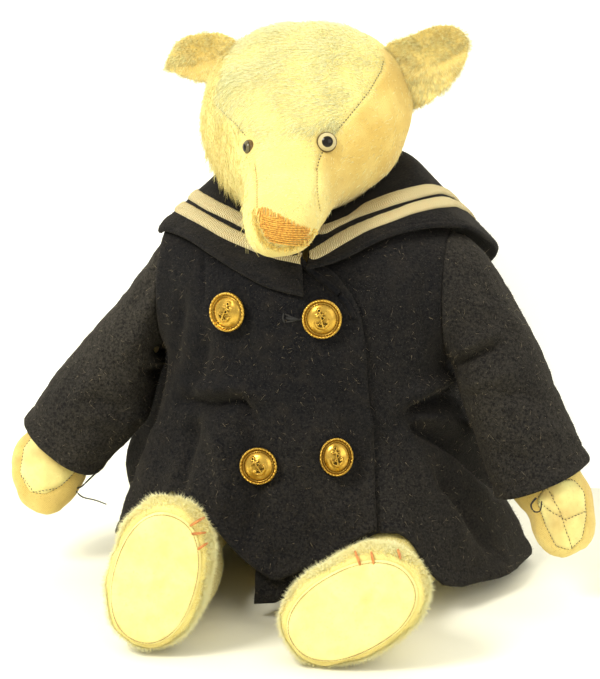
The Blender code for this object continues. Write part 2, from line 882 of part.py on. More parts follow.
def collarSurface(along, distance, lift, coatTree):
    step = 0.006
    near = max(distance - 1.5, 0.0)
    ahead = collarPlace(min(along + step, 1.0), distance, coatTree)
    behind = collarPlace(max(along - step, 0.0), distance, coatTree)
    inward = collarPlace(along, distance + 1.5, coatTree) - collarPlace(along, near, coatTree)
    normal = inward.cross(ahead - behind).normalized()
    if normal.z < 0:
        normal = -normal
    return collarPlace(along, distance, coatTree) + normal * lift


def collarBand(name, distances, whole, low, high, kind, coatTree):
    """A strip of the collar at these distances from its edge; a whole one goes on to the neck."""
    outer = []
    inner = []
    for r in range(len(distances) + (3 if whole else 0)):
        outRow = []
        inRow = []
        for along in np.linspace(0, 1, collarColumns):
            toRim, toNeck = collarLengths(along)
            onward = [blend(distances[-1], toRim, 0.5), toRim, toNeck]
            distance = (list(distances) + onward)[r]
            outRow.append(collarSurface(along, distance, high, coatTree))
            inRow.append(collarSurface(along, distance, low, coatTree))
        outer.append(outRow)
        inner.append(inRow)
    return makeObject(name, *sheetBody(outer, inner), kind)


def buildButton(name, coatTree):
    out, up = buttonPlaces[name]
    start = Vector((out, -200, up)) * metresPerUnit
    hit, normal, index, distance = coatTree.ray_cast(start, Vector((0, 1, 0)))
    place = hit / metresPerUnit
    across = normal.orthogonal().normalized()
    upward = normal.cross(across)
    profile = [
        (clearance + 0.1, 2.0),
        (1.9, 2.2),
        (2.0, 7.6),
        (2.4, 8.7),
        (3.2, buttonRadius),
        (4.0, buttonRadius - 0.1),
        (4.6, 8.4),
        (4.5, 7.5),
        (4.9, 7.0),
        (5.7, 5.2),
        (6.2, 2.6),
        (6.3, 0.8),
    ]
    rings = []
    for height, radius in profile:
        rings.append(
            superRing(place + normal * height, across, upward, radius, radius, 2.0, 20)
        )
    return makeObject(name, *loft(rings), "brass")


def buildEar(side, label):
    """A cupped ear whose foot is cut to the crown."""
    centre = ears[label]["centre"]
    radius = ears[label]["radius"]
    flat = ears[label]["flat"]
    upward = (side * earLean, 0, 1) if side > 0 else (0, 0, 1)
    facing = Vector((side * earTurn, -1, earTurn / 3)).normalized()
    upward = (Vector(upward) - facing * facing.dot(Vector(upward))).normalized()
    across = upward.cross(facing)
    rings = []
    steps = [
        (0.10, -1, 1.0),
        (0.35, -1, 1.0),
        (0.65, -1, 0.95),
        (0.88, -1, 0.7),
        (1.0, 0, 0.0),
        (0.88, 1, 0.7),
        (0.65, 1, 0.95),
        (0.35, 1, 1.0),
        (0.10, 1, 1.0),
    ]
    for share, face, thick in steps:
        bend = earCup * share**2
        place = Vector(centre) + facing * (bend + face * thick * earThickness / 2)
        rings.append(
            superRing(place, across, upward, radius * share, radius * share * flat, 2.1, 28)
        )
    ear = makeObject(f"ear_{label}", *loft(rings), "mohair")
    cut(ear, headBody("crown", clearance))
    return ear


def main():
    for item in sceneBlank:
        bpy.data.objects.remove(item, do_unlink=True)
    head = headBody("head", 0.0)
    cut(head, halfSpace("neck", inHead(0, 0, neckPlane + clearance / 2), -headUp))
    patch(
        "nose",
        headBody("larger", noseThickness),
        headBody("smaller", clearance),
        inHead(0, noseForward, noseUp) - (headForward + headUp * 0.8).normalized() * 5,
        headForward + headUp * 0.8,
        headUp - headForward,
        noseHalfWidth,
        noseHalfHeight,
        "thread",
    )
    torso = buildTorso()
    hardware("neck", inHead(0, 0, neckPlane), headUp, torso, head)
    for side, label in ((1, "left"), (-1, "right")):
        arm = armBody(f"arm_{label}", side, label, 0.0)
        patch(
            f"paw_pad_{label}",
            armBody("larger", side, label, padThickness),
            armBody("smaller", side, label, clearance),
            (side * pawPad[label][0], pawPad[label][1], pawPad[label][2]),
            (0, -1, -0.2),
            (-side * pawPad["lean"], 0, 0.9),
            pawPad["halfWidth"],
            pawPad["halfHeight"],
            "felt",
        )
        hardware(
            f"shoulder_{label}",
            (side * (shoulderFlat + clearance), shoulderY, shoulderZ),
            (side, 0, 0),
            torso,
            arm,
        )
        foot = footLeft if side > 0 else footRight
        leg = buildLeg(side, label, foot)
        hardware(
            f"hip_{label}",
            (side * (hipFlat + clearance / 2), hipY, hipZ),
            (side, 0, 0),
            torso,
            leg,
        )
        buildSleeve(side, label)
    for side, label in ((1, "left"), (-1, "right")):
        buildEar(side, label)
        centreEye = inHead(side * eyeAside, eyeForward, eyeUp)
        look = (headForward * 0.75 + headAside * side * 0.62 + headUp * 0.2).normalized()
        across = look.orthogonal().normalized()
        upward = look.cross(across)
        ball = []
        for k in range(1, 9):
            angle = math.pi * k / 9
            ball.append(
                superRing(
                    centreEye - look * eyeRadius * math.cos(angle),
                    across,
                    upward,
                    eyeRadius * math.sin(angle),
                    eyeRadius * math.sin(angle),
                    2.0,
                    16,
                )
            )
        makeObject(f"eye_{label}", *loft(ball), "glass")
        socket = []
        big = eyeRadius + clearance
        for k in range(1, 9):
            angle = math.pi * k / 9
            socket.append(
                superRing(
                    centreEye - look * big * math.cos(angle),
                    across,
                    upward,
                    big * math.sin(angle),
                    big * math.sin(angle),
                    2.0,
                    16,
                )
            )
        cut(head, makeObject("socket", *loft(socket), "card"))
        begin = centreEye - look * (eyeRadius - 0.2)
        end = begin - look * (eyeWireLength + clearance)
        cut(head, cylinder("wireHole", begin, end, eyeWireRadius + clearance, "card", 12))
        wireStart = centreEye - look * (eyeRadius + clearance)
        cylinder(
            f"eye_wire_{label}",
            wireStart,
            wireStart - look * (eyeWireLength - 1),
            eyeWireRadius,
            "steel",
            12,
        )
    coat = buildCoat()
    tree = BVHTree.FromObject(coat, bpy.context.evaluated_depsgraph_get())
    outer = [collarBorder + stripeWidth * k / 2 for k in range(3)]
    inner = [place + stripeWidth + stripeGap for place in outer]
    border = [collarBorder * k / 3 for k in range(3)]
    collarBand("collar", border + outer + inner, True, 0.0, collarWall, "navyWool", tree)
    low = collarWall + clearance
    high = low + stripeThickness
    collarBand("collar_braid_outer", outer, False, low, high, "braid", tree)
    collarBand("collar_braid_inner", inner, False, low, high, "braid", tree)
    for name in buttonPlaces:
        buildButton(name, tree)


main()
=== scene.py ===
import json
import math

import bmesh
import bpy
import numpy as np
from mathutils import Matrix, Vector, noise
from mathutils.bvhtree import BVHTree

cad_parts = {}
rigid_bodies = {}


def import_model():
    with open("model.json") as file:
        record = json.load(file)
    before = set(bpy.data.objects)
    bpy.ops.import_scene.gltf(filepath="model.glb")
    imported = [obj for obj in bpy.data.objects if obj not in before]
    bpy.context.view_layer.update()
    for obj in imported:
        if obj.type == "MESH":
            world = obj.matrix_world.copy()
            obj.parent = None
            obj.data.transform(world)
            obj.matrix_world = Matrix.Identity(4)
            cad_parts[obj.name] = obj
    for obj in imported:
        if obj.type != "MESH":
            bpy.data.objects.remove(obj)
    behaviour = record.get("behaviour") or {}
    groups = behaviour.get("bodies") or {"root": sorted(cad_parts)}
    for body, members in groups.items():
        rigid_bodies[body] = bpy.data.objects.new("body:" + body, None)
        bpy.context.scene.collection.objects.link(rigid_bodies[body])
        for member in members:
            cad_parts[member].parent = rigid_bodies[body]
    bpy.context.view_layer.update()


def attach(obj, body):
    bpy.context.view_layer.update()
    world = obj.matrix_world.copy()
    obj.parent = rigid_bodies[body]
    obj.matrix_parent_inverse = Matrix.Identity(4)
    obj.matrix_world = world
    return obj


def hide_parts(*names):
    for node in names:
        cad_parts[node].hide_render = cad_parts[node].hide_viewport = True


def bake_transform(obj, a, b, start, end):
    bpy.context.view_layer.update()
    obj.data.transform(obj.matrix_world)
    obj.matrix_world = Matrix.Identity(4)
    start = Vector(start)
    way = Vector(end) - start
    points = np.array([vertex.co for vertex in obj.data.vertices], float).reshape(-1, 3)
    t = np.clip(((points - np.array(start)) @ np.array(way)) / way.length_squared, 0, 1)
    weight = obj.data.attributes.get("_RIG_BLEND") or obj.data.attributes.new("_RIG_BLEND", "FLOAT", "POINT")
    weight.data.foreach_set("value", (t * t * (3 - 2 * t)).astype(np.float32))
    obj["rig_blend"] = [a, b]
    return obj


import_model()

mm = 0.001
rng = np.random.default_rng(7)

# Camera at the photograph's angle. Pixels here are those of a 600 by 679 frame.
shot = {
    "width": 600, "height": 679, "azimuth": 11.0, "elevation": 14.0, "distance": 1.2,
    "focalPixels": 2700.0, "target": (-0.0052, -0.0010, 0.103)
}
az = math.radians(shot["azimuth"])
el = math.radians(shot["elevation"])
camBack = np.array([math.sin(az) * math.cos(el), -math.cos(az) * math.cos(el), math.sin(el)])
camRight = np.array([math.cos(az), math.sin(az), 0.0])
camUp = np.array([-math.sin(az) * math.sin(el), math.cos(az) * math.sin(el), math.cos(el)])
camPlace = np.array(shot["target"]) + camBack * shot["distance"]


def toPixels(points):
    # pixels of points in the row frame
    q = np.asarray(points) - np.array(shot["target"])
    depth = shot["distance"] - q @ camBack
    x = shot["width"] / 2 + shot["focalPixels"] * (q @ camRight) / depth
    y = shot["height"] / 2 - shot["focalPixels"] * (q @ camUp) / depth
    return np.stack([x, y], -1)


def pixelRay(px, py):
    ray = -camBack * shot["focalPixels"]
    ray = ray + camRight * (px - shot["width"] / 2) + camUp * (shot["height"] / 2 - py)
    return Vector(ray).normalized()


def makeCamera():
    data = bpy.data.cameras.new("camera")
    data.sensor_width = 36
    data.lens = shot["focalPixels"] / shot["height"] * 36
    data.clip_start = 0.02
    data.clip_end = 20
    camera = bpy.data.objects.new("camera", data)
    bpy.context.scene.collection.objects.link(camera)
    camera.location = camPlace
    camera.rotation_euler = Vector(-camBack).to_track_quat("-Z", "Y").to_euler()
    bpy.context.scene.camera = camera


makeCamera()
print("camera set")


# Small helpers for meshes
def smoothStep(low, high, value):
    t = np.clip((np.asarray(value, float) - low) / (high - low), 0, 1)
    return t * t * (3 - 2 * t)


def alongRows(rows, t):
    # smooth values between rows of numbers, t from 0 to 1
    rows = np.asarray(rows, float)
    last = len(rows) - 1
    place = np.clip(np.asarray(t, float), 0, 1) * last
    k = np.minimum(place.astype(int), last - 1)
    u = (place - k)[..., None]
    p = [rows[np.clip(k + d, 0, last)] for d in (-1, 0, 1, 2)]
    a = (p[2] - p[0]) / 2
    b = (p[3] - p[1]) / 2
    return (
        (2 * u**3 - 3 * u**2 + 1) * p[1] + (-2 * u**3 + 3 * u**2) * p[2] + (u**3 - 2 * u**2 + u) * a
        + (u**3 - u**2) * b
    )


def signedPower(v, power):
    return np.sign(v) * np.abs(v) ** power


def gridFaces(rows, columns, start=0, wrap=False):
    r, c = np.meshgrid(
        np.arange(rows - 1), np.arange(columns if wrap else columns - 1), indexing="ij"
    )
    n = (c + 1) % columns
    quads = np.stack(
        [r * columns + c, r * columns + n, (r + 1) * columns + n, (r + 1) * columns + c], -1
    )
    return quads.reshape(-1, 4) + start


def makeMesh(name, points, faces, material, smooth=True, tidy=True):
    mesh = bpy.data.meshes.new(name)
    mesh.from_pydata(np.asarray(points).tolist(), [], [tuple(map(int, f)) for f in faces])
    if tidy:
        body = bmesh.new()
        body.from_mesh(mesh)
        bmesh.ops.recalc_face_normals(body, faces=body.faces)
        body.to_mesh(mesh)
        body.free()
    mesh.polygons.foreach_set("use_smooth", [smooth] * len(mesh.polygons))
    item = bpy.data.objects.new(name, mesh)
    bpy.context.scene.collection.objects.link(item)
    if material is not None:
        mesh.materials.append(material)
    return item


def solidOf(rings):
    # points and faces of a closed form through a stack of rings, with a pole at each end
    rings = np.asarray(rings)
    rows, columns = rings.shape[:2]
    points = np.concatenate([rings.reshape(-1, 3), [rings[0].mean(0)], [rings[-1].mean(0)]])
    faces = list(gridFaces(rows, columns, 0, True))
    first = rows * columns
    for i in range(columns):
        j = (i + 1) % columns
        faces.append((first, j, i))
        faces.append((first + 1, (rows - 1) * columns + i, (rows - 1) * columns + j))
    return points, faces


def tubeOf(outer, inner):
    rings = np.concatenate([outer, inner[::-1]])
    rows, columns = rings.shape[:2]
    faces = list(gridFaces(rows, columns, 0, True))
    a = (rows - 1) * columns
    for i in range(columns):
        j = (i + 1) % columns
        faces.append((a + i, a + j, j, i))
    return rings.reshape(-1, 3), faces


def normalsOf(grid, wrap):
    # unit normals of a grid of points, by differences along rows and columns
    down = np.gradient(grid, axis=0)
    if wrap:
        across = np.roll(grid, -1, 1) - np.roll(grid, 1, 1)
    else:
        across = np.gradient(grid, axis=1)
    n = np.cross(across, down)
    return n / np.maximum(np.linalg.norm(n, axis=-1, keepdims=True), 1e-12)


def outwardOf(rings, middle=None):
    # one outward normal for each point of a stack of rings
    if middle is None:
        middle = rings.mean(1, keepdims=True)
    outward = normalsOf(rings, True)
    return (outward * np.sign(np.sum(outward * (rings - middle)))).reshape(-1, 3)


def nearLine(points, line):
    # distance of 2-D points from a polyline, and how far along it they are, 0 to 1
    line = np.asarray(line, float)
    best = np.full(len(points), 1e9)
    along = np.zeros(len(points))
    lengths = np.linalg.norm(np.diff(line, axis=0), axis=1)
    total = lengths.sum()
    run = 0.0
    side = np.zeros(len(points))
    for a, b, size in zip(line[:-1], line[1:], lengths):
        d = (b - a) / size
        s = np.clip((points - a) @ d, 0, size)
        off = points - (a + s[:, None] * d)
        far = np.linalg.norm(off, axis=1)
        closer = far < best
        best = np.where(closer, far, best)
        along = np.where(closer, (run + s) / total, along)
        side = np.where(closer, np.sign(d[0] * off[:, 1] - d[1] * off[:, 0]), side)
        run += size
    return best, along, side


def fractal(points, size, seed=0, octaves=3):
    # smooth noise at a size in metres, one value for each point
    shift = Vector((seed * 3.1, seed * 1.7, seed * 2.3))
    return np.array(
        [
            noise.fractal(
                Vector(p) / size + shift, 1.0, 2.0, octaves, noise_basis="PERLIN_ORIGINAL"
            ) for p in points
        ]
    )


def setFloats(item, name, values):
    attribute = item.data.attributes.new(name, "FLOAT", "POINT")
    attribute.data.foreach_set("value", np.asarray(values, np.float32))


def setVectors(item, name, values):
    attribute = item.data.attributes.new(name, "FLOAT_VECTOR", "POINT")
    attribute.data.foreach_set("vector", np.asarray(values, np.float32).ravel())


def pointsOf(item):
    co = np.empty(len(item.data.vertices) * 3, np.float32)
    item.data.vertices.foreach_get("co", co)
    return co.reshape(-1, 3).astype(float)


def vertexNormals(item):
    n = np.empty(len(item.data.vertices) * 3, np.float32)
    item.data.vertex_normals.foreach_get("vector", n)
    return n.reshape(-1, 3).astype(float)


def treeOf(item):
    return BVHTree.FromObject(item, bpy.context.evaluated_depsgraph_get())


def onSurface(tree, line, lift=0.0):
    # the places where pixels of the photograph's frame fall on a surface
    found = []
    for px, py in line:
        hit, normal, index, far = tree.ray_cast(Vector(camPlace), pixelRay(px, py))
        if hit is not None:
            found.append(hit + normal * lift)
    return found


def denser(line, step):
    # a polyline with a point at every step
    line = np.asarray(line, float)
    out = [line[0]]
    for a, b in zip(line[:-1], line[1:]):
        n = max(1, int(round(np.linalg.norm(b - a) / step)))
        for i in range(1, n + 1):
            out.append(a + (b - a) * i / n)
    return out


def stepsOf(line):
    # length run so far at each point of a line
    return np.r_[0, np.cumsum(np.linalg.norm(np.diff(line, axis=0), axis=1))]


def evenLoop(outline, count, smoothings):
    # a closed outline with its points at even steps, its corners rounded
    closed = np.concatenate([outline, outline[:1]])
    step = stepsOf(closed)
    at = np.linspace(0, step[-1], count, endpoint=False)
    edge = np.stack([np.interp(at, step, values) for values in closed.T], -1)
    for _ in range(smoothings):
        edge = (np.roll(edge, 1, 0) + edge * 2 + np.roll(edge, -1, 0)) / 4
    return edge


# Materials
class Joined:
    # nodes of a tree, joined by sockets or given plain values

    def put(self, socket, value):
        if isinstance(value, bpy.types.Node):
            value = value.outputs[0]
        if isinstance(value, bpy.types.NodeSocket):
            self.tree.links.new(value, socket)
        else:
            socket.default_value = value


class Shade(Joined):
    # a material being built: nodes are made and joined by name

    def __init__(self, name, colour, roughness, metallic=0.0):
        self.material = bpy.data.materials.new(name)
        self.material.use_nodes = True
        self.tree = self.material.node_tree
        self.shader = self.tree.nodes["Principled BSDF"]
        self.shader.inputs["Base Color"].default_value = (*colour, 1)
        self.shader.inputs["Roughness"].default_value = roughness
        self.shader.inputs["Metallic"].default_value = metallic

    def add(self, kind, **settings):
        node = self.tree.nodes.new(kind)
        inputs = settings.pop("inputs", {})
        for key, value in settings.items():
            setattr(node, key, value)
        for key, value in inputs.items():
            self.put(node.inputs[key], value)
        return node

    def noise(self, scale, detail=3.0, rough=0.55, where=None, distortion=0.0):
        where = where or self.add("ShaderNodeTexCoord").outputs["Object"]
        return self.add(
            "ShaderNodeTexNoise",
            inputs={
                "Vector": where, "Scale": scale, "Detail": detail, "Roughness": rough,
                "Distortion": distortion
            }
        ).outputs["Fac"]

    def math(self, operation, a, b=0.0, c=0.0):
        node = self.add("ShaderNodeMath", operation=operation)
        self.put(node.inputs[0], a)
        self.put(node.inputs[1], b)
        self.put(node.inputs[2], c)
        return node.outputs[0]

    def ramp(self, value, low, high, outLow=0.0, outHigh=1.0):
        return self.add(
            "ShaderNodeMapRange", interpolation_type="SMOOTHSTEP",
            inputs={
                "Value": value, "From Min": low, "From Max": high, "To Min": outLow,
                "To Max": outHigh
            }
        ).outputs[0]

    def mix(self, share, a, b, blendType="MIX"):
        node = self.add("ShaderNodeMix", data_type="RGBA", blend_type=blendType)
        self.put(node.inputs["Factor"], share)
        self.put(node.inputs[6], (*a, 1) if isinstance(a, tuple) else a)
        self.put(node.inputs[7], (*b, 1) if isinstance(b, tuple) else b)
        return node.outputs[2]

    def attribute(self, name):
        return self.add("ShaderNodeAttribute", attribute_name=name).outputs["Fac"]

    def bump(self, height, distance, strength=1.0, under=None):
        node = self.add(
            "ShaderNodeBump", inputs={"Height": height, "Distance": distance, "Strength": strength}
        )
        if under is not None:
            self.put(node.inputs["Normal"], under)
        return node.outputs[0]

    def weave(self, pitch):
        # threads over and under, on whichever plane the cloth faces most
        here = self.add("ShaderNodeTexCoord").outputs["Object"]
        split = self.add("ShaderNodeSeparateXYZ", inputs={"Vector": here})
        facing = self.add("ShaderNodeNewGeometry").outputs["Normal"]
        facing = self.add(
            "ShaderNodeVectorTransform", vector_type="NORMAL", convert_from="WORLD",
            convert_to="OBJECT", inputs={"Vector": facing}
        )
        face = self.add("ShaderNodeSeparateXYZ", inputs={"Vector": facing})
        wobble = self.noise(90.0, 2.0)
        wave = []
        for axis in range(3):
            shifted = self.math("MULTIPLY_ADD", wobble, pitch * 2.5, split.outputs[axis])
            turned = self.math("MULTIPLY", shifted, 2 * math.pi / pitch)
            wave.append(self.math("SINE", turned))
        total = None
        for axis in range(3):
            a, b = wave[(axis + 1) % 3], wave[(axis + 2) % 3]
            cloth = self.math("MULTIPLY", a, b)
            share = self.math("POWER", self.math("ABSOLUTE", face.outputs[axis]), 4.0)
            cloth = self.math("MULTIPLY", cloth, share)
            total = cloth if total is None else self.math("ADD", total, cloth)
        return total

    def letThrough(self, colour, share):
        # light that comes through a thin hair from behind
        self.over(self.add("ShaderNodeBsdfTranslucent", inputs={"Color": colour}), share)

    def over(self, other, share):
        # a second shader mixed over the first
        both = self.add("ShaderNodeMixShader", inputs={"Fac": share})
        self.put(both.inputs[1], self.shader)
        self.put(both.inputs[2], other)
        self.put(self.tree.nodes["Material Output"].inputs["Surface"], both)

    def done(self, colour=None, normal=None, roughness=None):
        if colour is not None:
            self.put(self.shader.inputs["Base Color"], colour)
        if normal is not None:
            self.put(self.shader.inputs["Normal"], normal)
        if roughness is not None:
            self.put(self.shader.inputs["Roughness"], roughness)
        return self.material


def bareLinen(name="bareLinen"):
    # backing cloth of the mohair, with the stubs of worn-off pile
    s = Shade(name, (0.85, 0.70, 0.25), 0.9)
    weave = s.weave(0.90 * mm)
    tone = s.attribute("tone")
    blotch = s.noise(55.0, 5.0, 0.6)
    stubs = s.noise(1500.0, 2.0, 0.6)
    pale = s.mix(s.ramp(blotch, 0.35, 0.7), (0.80, 0.69, 0.24), (0.88, 0.81, 0.31))
    # the colour of the bald, worn patches
    wearAndSheen = s.mix(s.ramp(blotch, 0.35, 0.68), (0.66, 0.46, 0.12), (0.82, 0.64, 0.21))
    colour = s.mix(tone, pale, wearAndSheen)
    thread = s.ramp(weave, -0.7, 0.6)
    colour = s.mix(
        s.math("MULTIPLY", s.math("SUBTRACT", 1.0, thread), 0.42), colour, (0.40, 0.25, 0.055)
    )
    pits = s.ramp(stubs, 0.58, 0.70)
    colour = s.mix(s.math("MULTIPLY", pits, 0.50), colour, (0.34, 0.20, 0.04))
    # this attribute holds dirt, and painted shade where a piece sets it (eye sockets, head underside, ear
    # fold)
    grimeAndShade = s.attribute("grimeAndShade")
    colour = s.mix(s.math("MULTIPLY", grimeAndShade, 0.75), colour, (0.40, 0.27, 0.09))
    height = s.math("ADD", s.math("MULTIPLY", weave, 0.5), s.math("MULTIPLY", stubs, 0.8))
    s.shader.inputs["Sheen Weight"].default_value = 0.25
    s.shader.inputs["Sheen Tint"].default_value = (1.0, 0.95, 0.7, 1)
    s.shader.inputs["Specular IOR Level"].default_value = 0.15
    return s.done(colour, s.bump(height, 0.18 * mm, 0.9))


def mohairPile(name, pale, dark):
    # one colour for the hairs themselves
    s = Shade(name, pale, 0.75)
    speck = s.noise(420.0, 2.0)
    patches = s.noise(60.0, 3.0)
    share = s.math("ADD", s.ramp(speck, 0.3, 0.7, 0.0, 0.6), s.ramp(patches, 0.3, 0.7, 0.0, 0.4))
    colour = s.mix(share, dark, pale)
    s.shader.inputs["Specular IOR Level"].default_value = 0.2
    s.letThrough(colour, 0.12)
    return s.done(colour)


def navyWool(name="navyWool"):
    # fulled coat cloth: matted nap, stray specks, a little bloom at grazing angles
    s = Shade(name, (0.02, 0.02, 0.025), 0.92)
    nap = s.noise(900.0, 4.0, 0.65, distortion=0.6)
    mottle = s.noise(130.0, 4.0, 0.6)
    broad = s.noise(22.0, 2.0)
    colour = s.mix(s.ramp(nap, 0.3, 0.72), (0.0024, 0.0030, 0.0050), (0.0100, 0.0100, 0.0112))
    colour = s.mix(s.ramp(mottle, 0.45, 0.75, 0.0, 0.5), colour, (0.018, 0.0155, 0.0135))
    # lighter grey nap mixed in by this attribute: partly wear, partly painted sheen where the cloth catches
    # the light
    wearAndSheen = s.attribute("wearAndSheen")
    grey = s.mix(s.ramp(nap, 0.3, 0.7), (0.010, 0.0095, 0.0092), (0.056, 0.050, 0.040))
    colour = s.mix(s.math("MULTIPLY", wearAndSheen, s.ramp(broad, 0.3, 0.7, 0.6, 1.0)), colour, grey)
    lint = s.noise(2300.0, 1.0, 0.5)
    colour = s.mix(s.ramp(lint, 0.72, 0.78, 0.0, 0.40), colour, (0.26, 0.21, 0.14))
    height = s.math("ADD", nap, s.math("MULTIPLY", mottle, 1.4))
    s.shader.inputs["Sheen Weight"].default_value = 0.035
    s.shader.inputs["Sheen Roughness"].default_value = 0.45
    s.shader.inputs["Sheen Tint"].default_value = (1.0, 0.86, 0.64, 1)
    s.shader.inputs["Specular IOR Level"].default_value = 0.06
    return s.done(colour, s.bump(height, 0.5 * mm, 1.0))


def paleFelt(name="paleFelt"):
    # pad felt, matted, a little soiled
    s = Shade(name, (0.92, 0.90, 0.45), 0.95)
    matted = s.noise(800.0, 4.0, 0.65, distortion=1.0)
    blotch = s.noise(70.0, 5.0, 0.6)
    colour = s.mix(s.ramp(blotch, 0.3, 0.7), (0.74, 0.65, 0.24), (0.82, 0.76, 0.31))
    colour = s.mix(s.ramp(matted, 0.52, 0.72, 0.0, 0.38), colour, (0.60, 0.46, 0.15))
    grimeAndShade = s.attribute("grimeAndShade")
    colour = s.mix(s.math("MULTIPLY", grimeAndShade, 0.8), colour, (0.42, 0.24, 0.07))
    s.shader.inputs["Specular IOR Level"].default_value = 0.12
    s.shader.inputs["Sheen Weight"].default_value = 0.2
    return s.done(colour, s.bump(matted, 0.18 * mm, 0.9))


def creamBraid(name="creamBraid"):
    # flat braid: fine ribs along it, follows its own map
    s = Shade(name, (0.86, 0.76, 0.42), 0.85)
    uv = s.add("ShaderNodeUVMap", uv_map="run").outputs[0]
    split = s.add("ShaderNodeSeparateXYZ", inputs={"Vector": uv})
    slope = s.math("ABSOLUTE", s.math("SINE", s.math("MULTIPLY", split.outputs[1], math.pi * 3)))
    along = s.math("MULTIPLY_ADD", slope, 0.55, split.outputs[0])
    rib = s.math("SINE", s.math("MULTIPLY", along, 2 * math.pi))
    wear = s.noise(260.0, 4.0, 0.6)
    colour = s.mix(s.ramp(rib, -0.7, 0.6), (0.40, 0.28, 0.11), (0.90, 0.82, 0.50))
    colour = s.mix(s.ramp(wear, 0.45, 0.72, 0.0, 0.45), colour, (0.70, 0.52, 0.26))
    s.shader.inputs["Specular IOR Level"].default_value = 0.15
    return s.done(colour, s.bump(s.math("ADD", rib, wear), 0.25 * mm, 1.0))


def oldBrass(name="oldBrass"):
    # stamped brass, bright on what stands up and brown in the hollows
    s = Shade(name, (0.72, 0.48, 0.10), 0.3, 1.0)
    hollow = s.add(
        "ShaderNodeAmbientOcclusion", samples=8, inputs={"Distance": 1.2 * mm}
    ).outputs["AO"]
    smear = s.noise(350.0, 5.0, 0.65)
    dull = s.ramp(smear, 0.4, 0.7, 0.0, 0.35)
    colour = s.mix(dull, (0.58, 0.36, 0.062), (0.26, 0.14, 0.025))
    colour = s.mix(s.ramp(hollow, 0.5, 1.0), (0.022, 0.011, 0.003), colour)
    rough = s.ramp(smear, 0.3, 0.75, 0.20, 0.42)
    return s.done(colour, s.bump(smear, 0.05 * mm, 0.5), rough)


def sewingThread(name, light, dark):
    s = Shade(name, light, 0.7)
    ply = s.noise(1200.0, 2.0)
    return s.done(s.mix(s.ramp(ply, 0.35, 0.65), dark, light), s.bump(ply, 0.06 * mm, 0.7))


linen = bareLinen()
wool = navyWool()
felt = paleFelt()
braid = creamBraid()
brass = oldBrass()
headPile = mohairPile("headPile", (1.0, 1.0, 0.66), (0.98, 0.94, 0.50))
cheekPile = mohairPile("cheekPile", (1.0, 0.95, 0.48), (0.88, 0.72, 0.28))
earPile = mohairPile("earPile", (1.0, 0.98, 0.55), (0.90, 0.76, 0.33))
footPile = mohairPile("footPile", (1.0, 0.99, 0.62), (1.0, 0.90, 0.46))
blackThread = sewingThread("blackThread", (0.012, 0.010, 0.009), (0.004, 0.004, 0.004))
gapShade = sewingThread("gapShade", (0.0012, 0.0012, 0.0012), (0.0008, 0.0008, 0.0008))
brownThread = sewingThread("brownThread", (0.42, 0.26, 0.08), (0.22, 0.12, 0.03))
darkThread = sewingThread("darkThread", (0.10, 0.07, 0.04), (0.03, 0.02, 0.015))
rustThread = sewingThread("rustThread", (0.66, 0.27, 0.07), (0.38, 0.13, 0.03))
goldThread = sewingThread("goldThread", (0.88, 0.66, 0.16), (0.60, 0.38, 0.07))
noseThread = sewingThread("noseThread", (0.80, 0.45, 0.07), (0.50, 0.22, 0.028))
napFibre = sewingThread("napFibre", (0.022, 0.019, 0.016), (0.006, 0.006, 0.008))
lintFibre = sewingThread("lintFibre", (0.38, 0.31, 0.19), (0.16, 0.12, 0.07))
print("materials made")


# Geometry Nodes: hairs, stitches and fibres
class Nodes(Joined):
    # a Geometry Nodes tree with named inputs

    def __init__(self, name, inputs):
        self.tree = bpy.data.node_groups.new(name, "GeometryNodeTree")
        self.tree.interface.new_socket("Geometry", in_out="INPUT", socket_type="NodeSocketGeometry")
        self.tree.interface.new_socket(
            "Geometry", in_out="OUTPUT", socket_type="NodeSocketGeometry"
        )
        for label, kind in inputs:
            self.tree.interface.new_socket(label, in_out="INPUT", socket_type=kind)
        self.start = self.tree.nodes.new("NodeGroupInput")
        self.end = self.tree.nodes.new("NodeGroupOutput")

    def add(self, kind, inputs=None, **settings):
        node = self.tree.nodes.new(kind)
        for key, value in settings.items():
            setattr(node, key, value)
        for key, value in (inputs or {}).items():
            self.put(node.inputs[key], value)
        return node

    def given(self, label):
        return self.start.outputs[label]

    def math(self, operation, a, b=0.0):
        node = self.add("ShaderNodeMath", operation=operation)
        self.put(node.inputs[0], a)
        self.put(node.inputs[1], b)
        return node.outputs[0]

    def vector(self, operation, a, b=None, scale=None):
        node = self.add("ShaderNodeVectorMath", operation=operation)
        self.put(node.inputs[0], a)
        if b is not None:
            self.put(node.inputs[1], b)
        if scale is not None:
            self.put(node.inputs["Scale"], scale)
        return node.outputs[0]

    def randomVector(self, low, high, seed):
        node = self.add("FunctionNodeRandomValue", data_type="FLOAT_VECTOR")
        self.put(node.inputs[0], low)
        self.put(node.inputs[1], high)
        self.put(node.inputs["Seed"], seed)
        return node.outputs[0]

    def randomFloat(self, low, high, seed):
        node = self.add("FunctionNodeRandomValue", data_type="FLOAT")
        self.put(node.inputs[2], low)
        self.put(node.inputs[3], high)
        self.put(node.inputs["Seed"], seed)
        return node.outputs[1]

    def named(self, label, kind="FLOAT"):
        node = self.add("GeometryNodeInputNamedAttribute", data_type=kind)
        node.inputs["Name"].default_value = label
        return node.outputs["Attribute"]

    def scatter(self, points, shape, rotation, length):
        # the shape at every point, made real and given its material
        thick = self.given("Thickness")
        scale = self.add("ShaderNodeCombineXYZ", {"X": thick, "Y": thick, "Z": length})
        given = {"Points": points, "Instance": shape, "Rotation": rotation, "Scale": scale}
        put = self.add("GeometryNodeInstanceOnPoints", given)
        real = self.add("GeometryNodeRealizeInstances", {"Geometry": put})
        paint = self.add(
            "GeometryNodeSetMaterial", {"Geometry": real, "Material": self.given("Material")}
        )
        self.put(self.end.inputs[0], paint)
        return self.tree


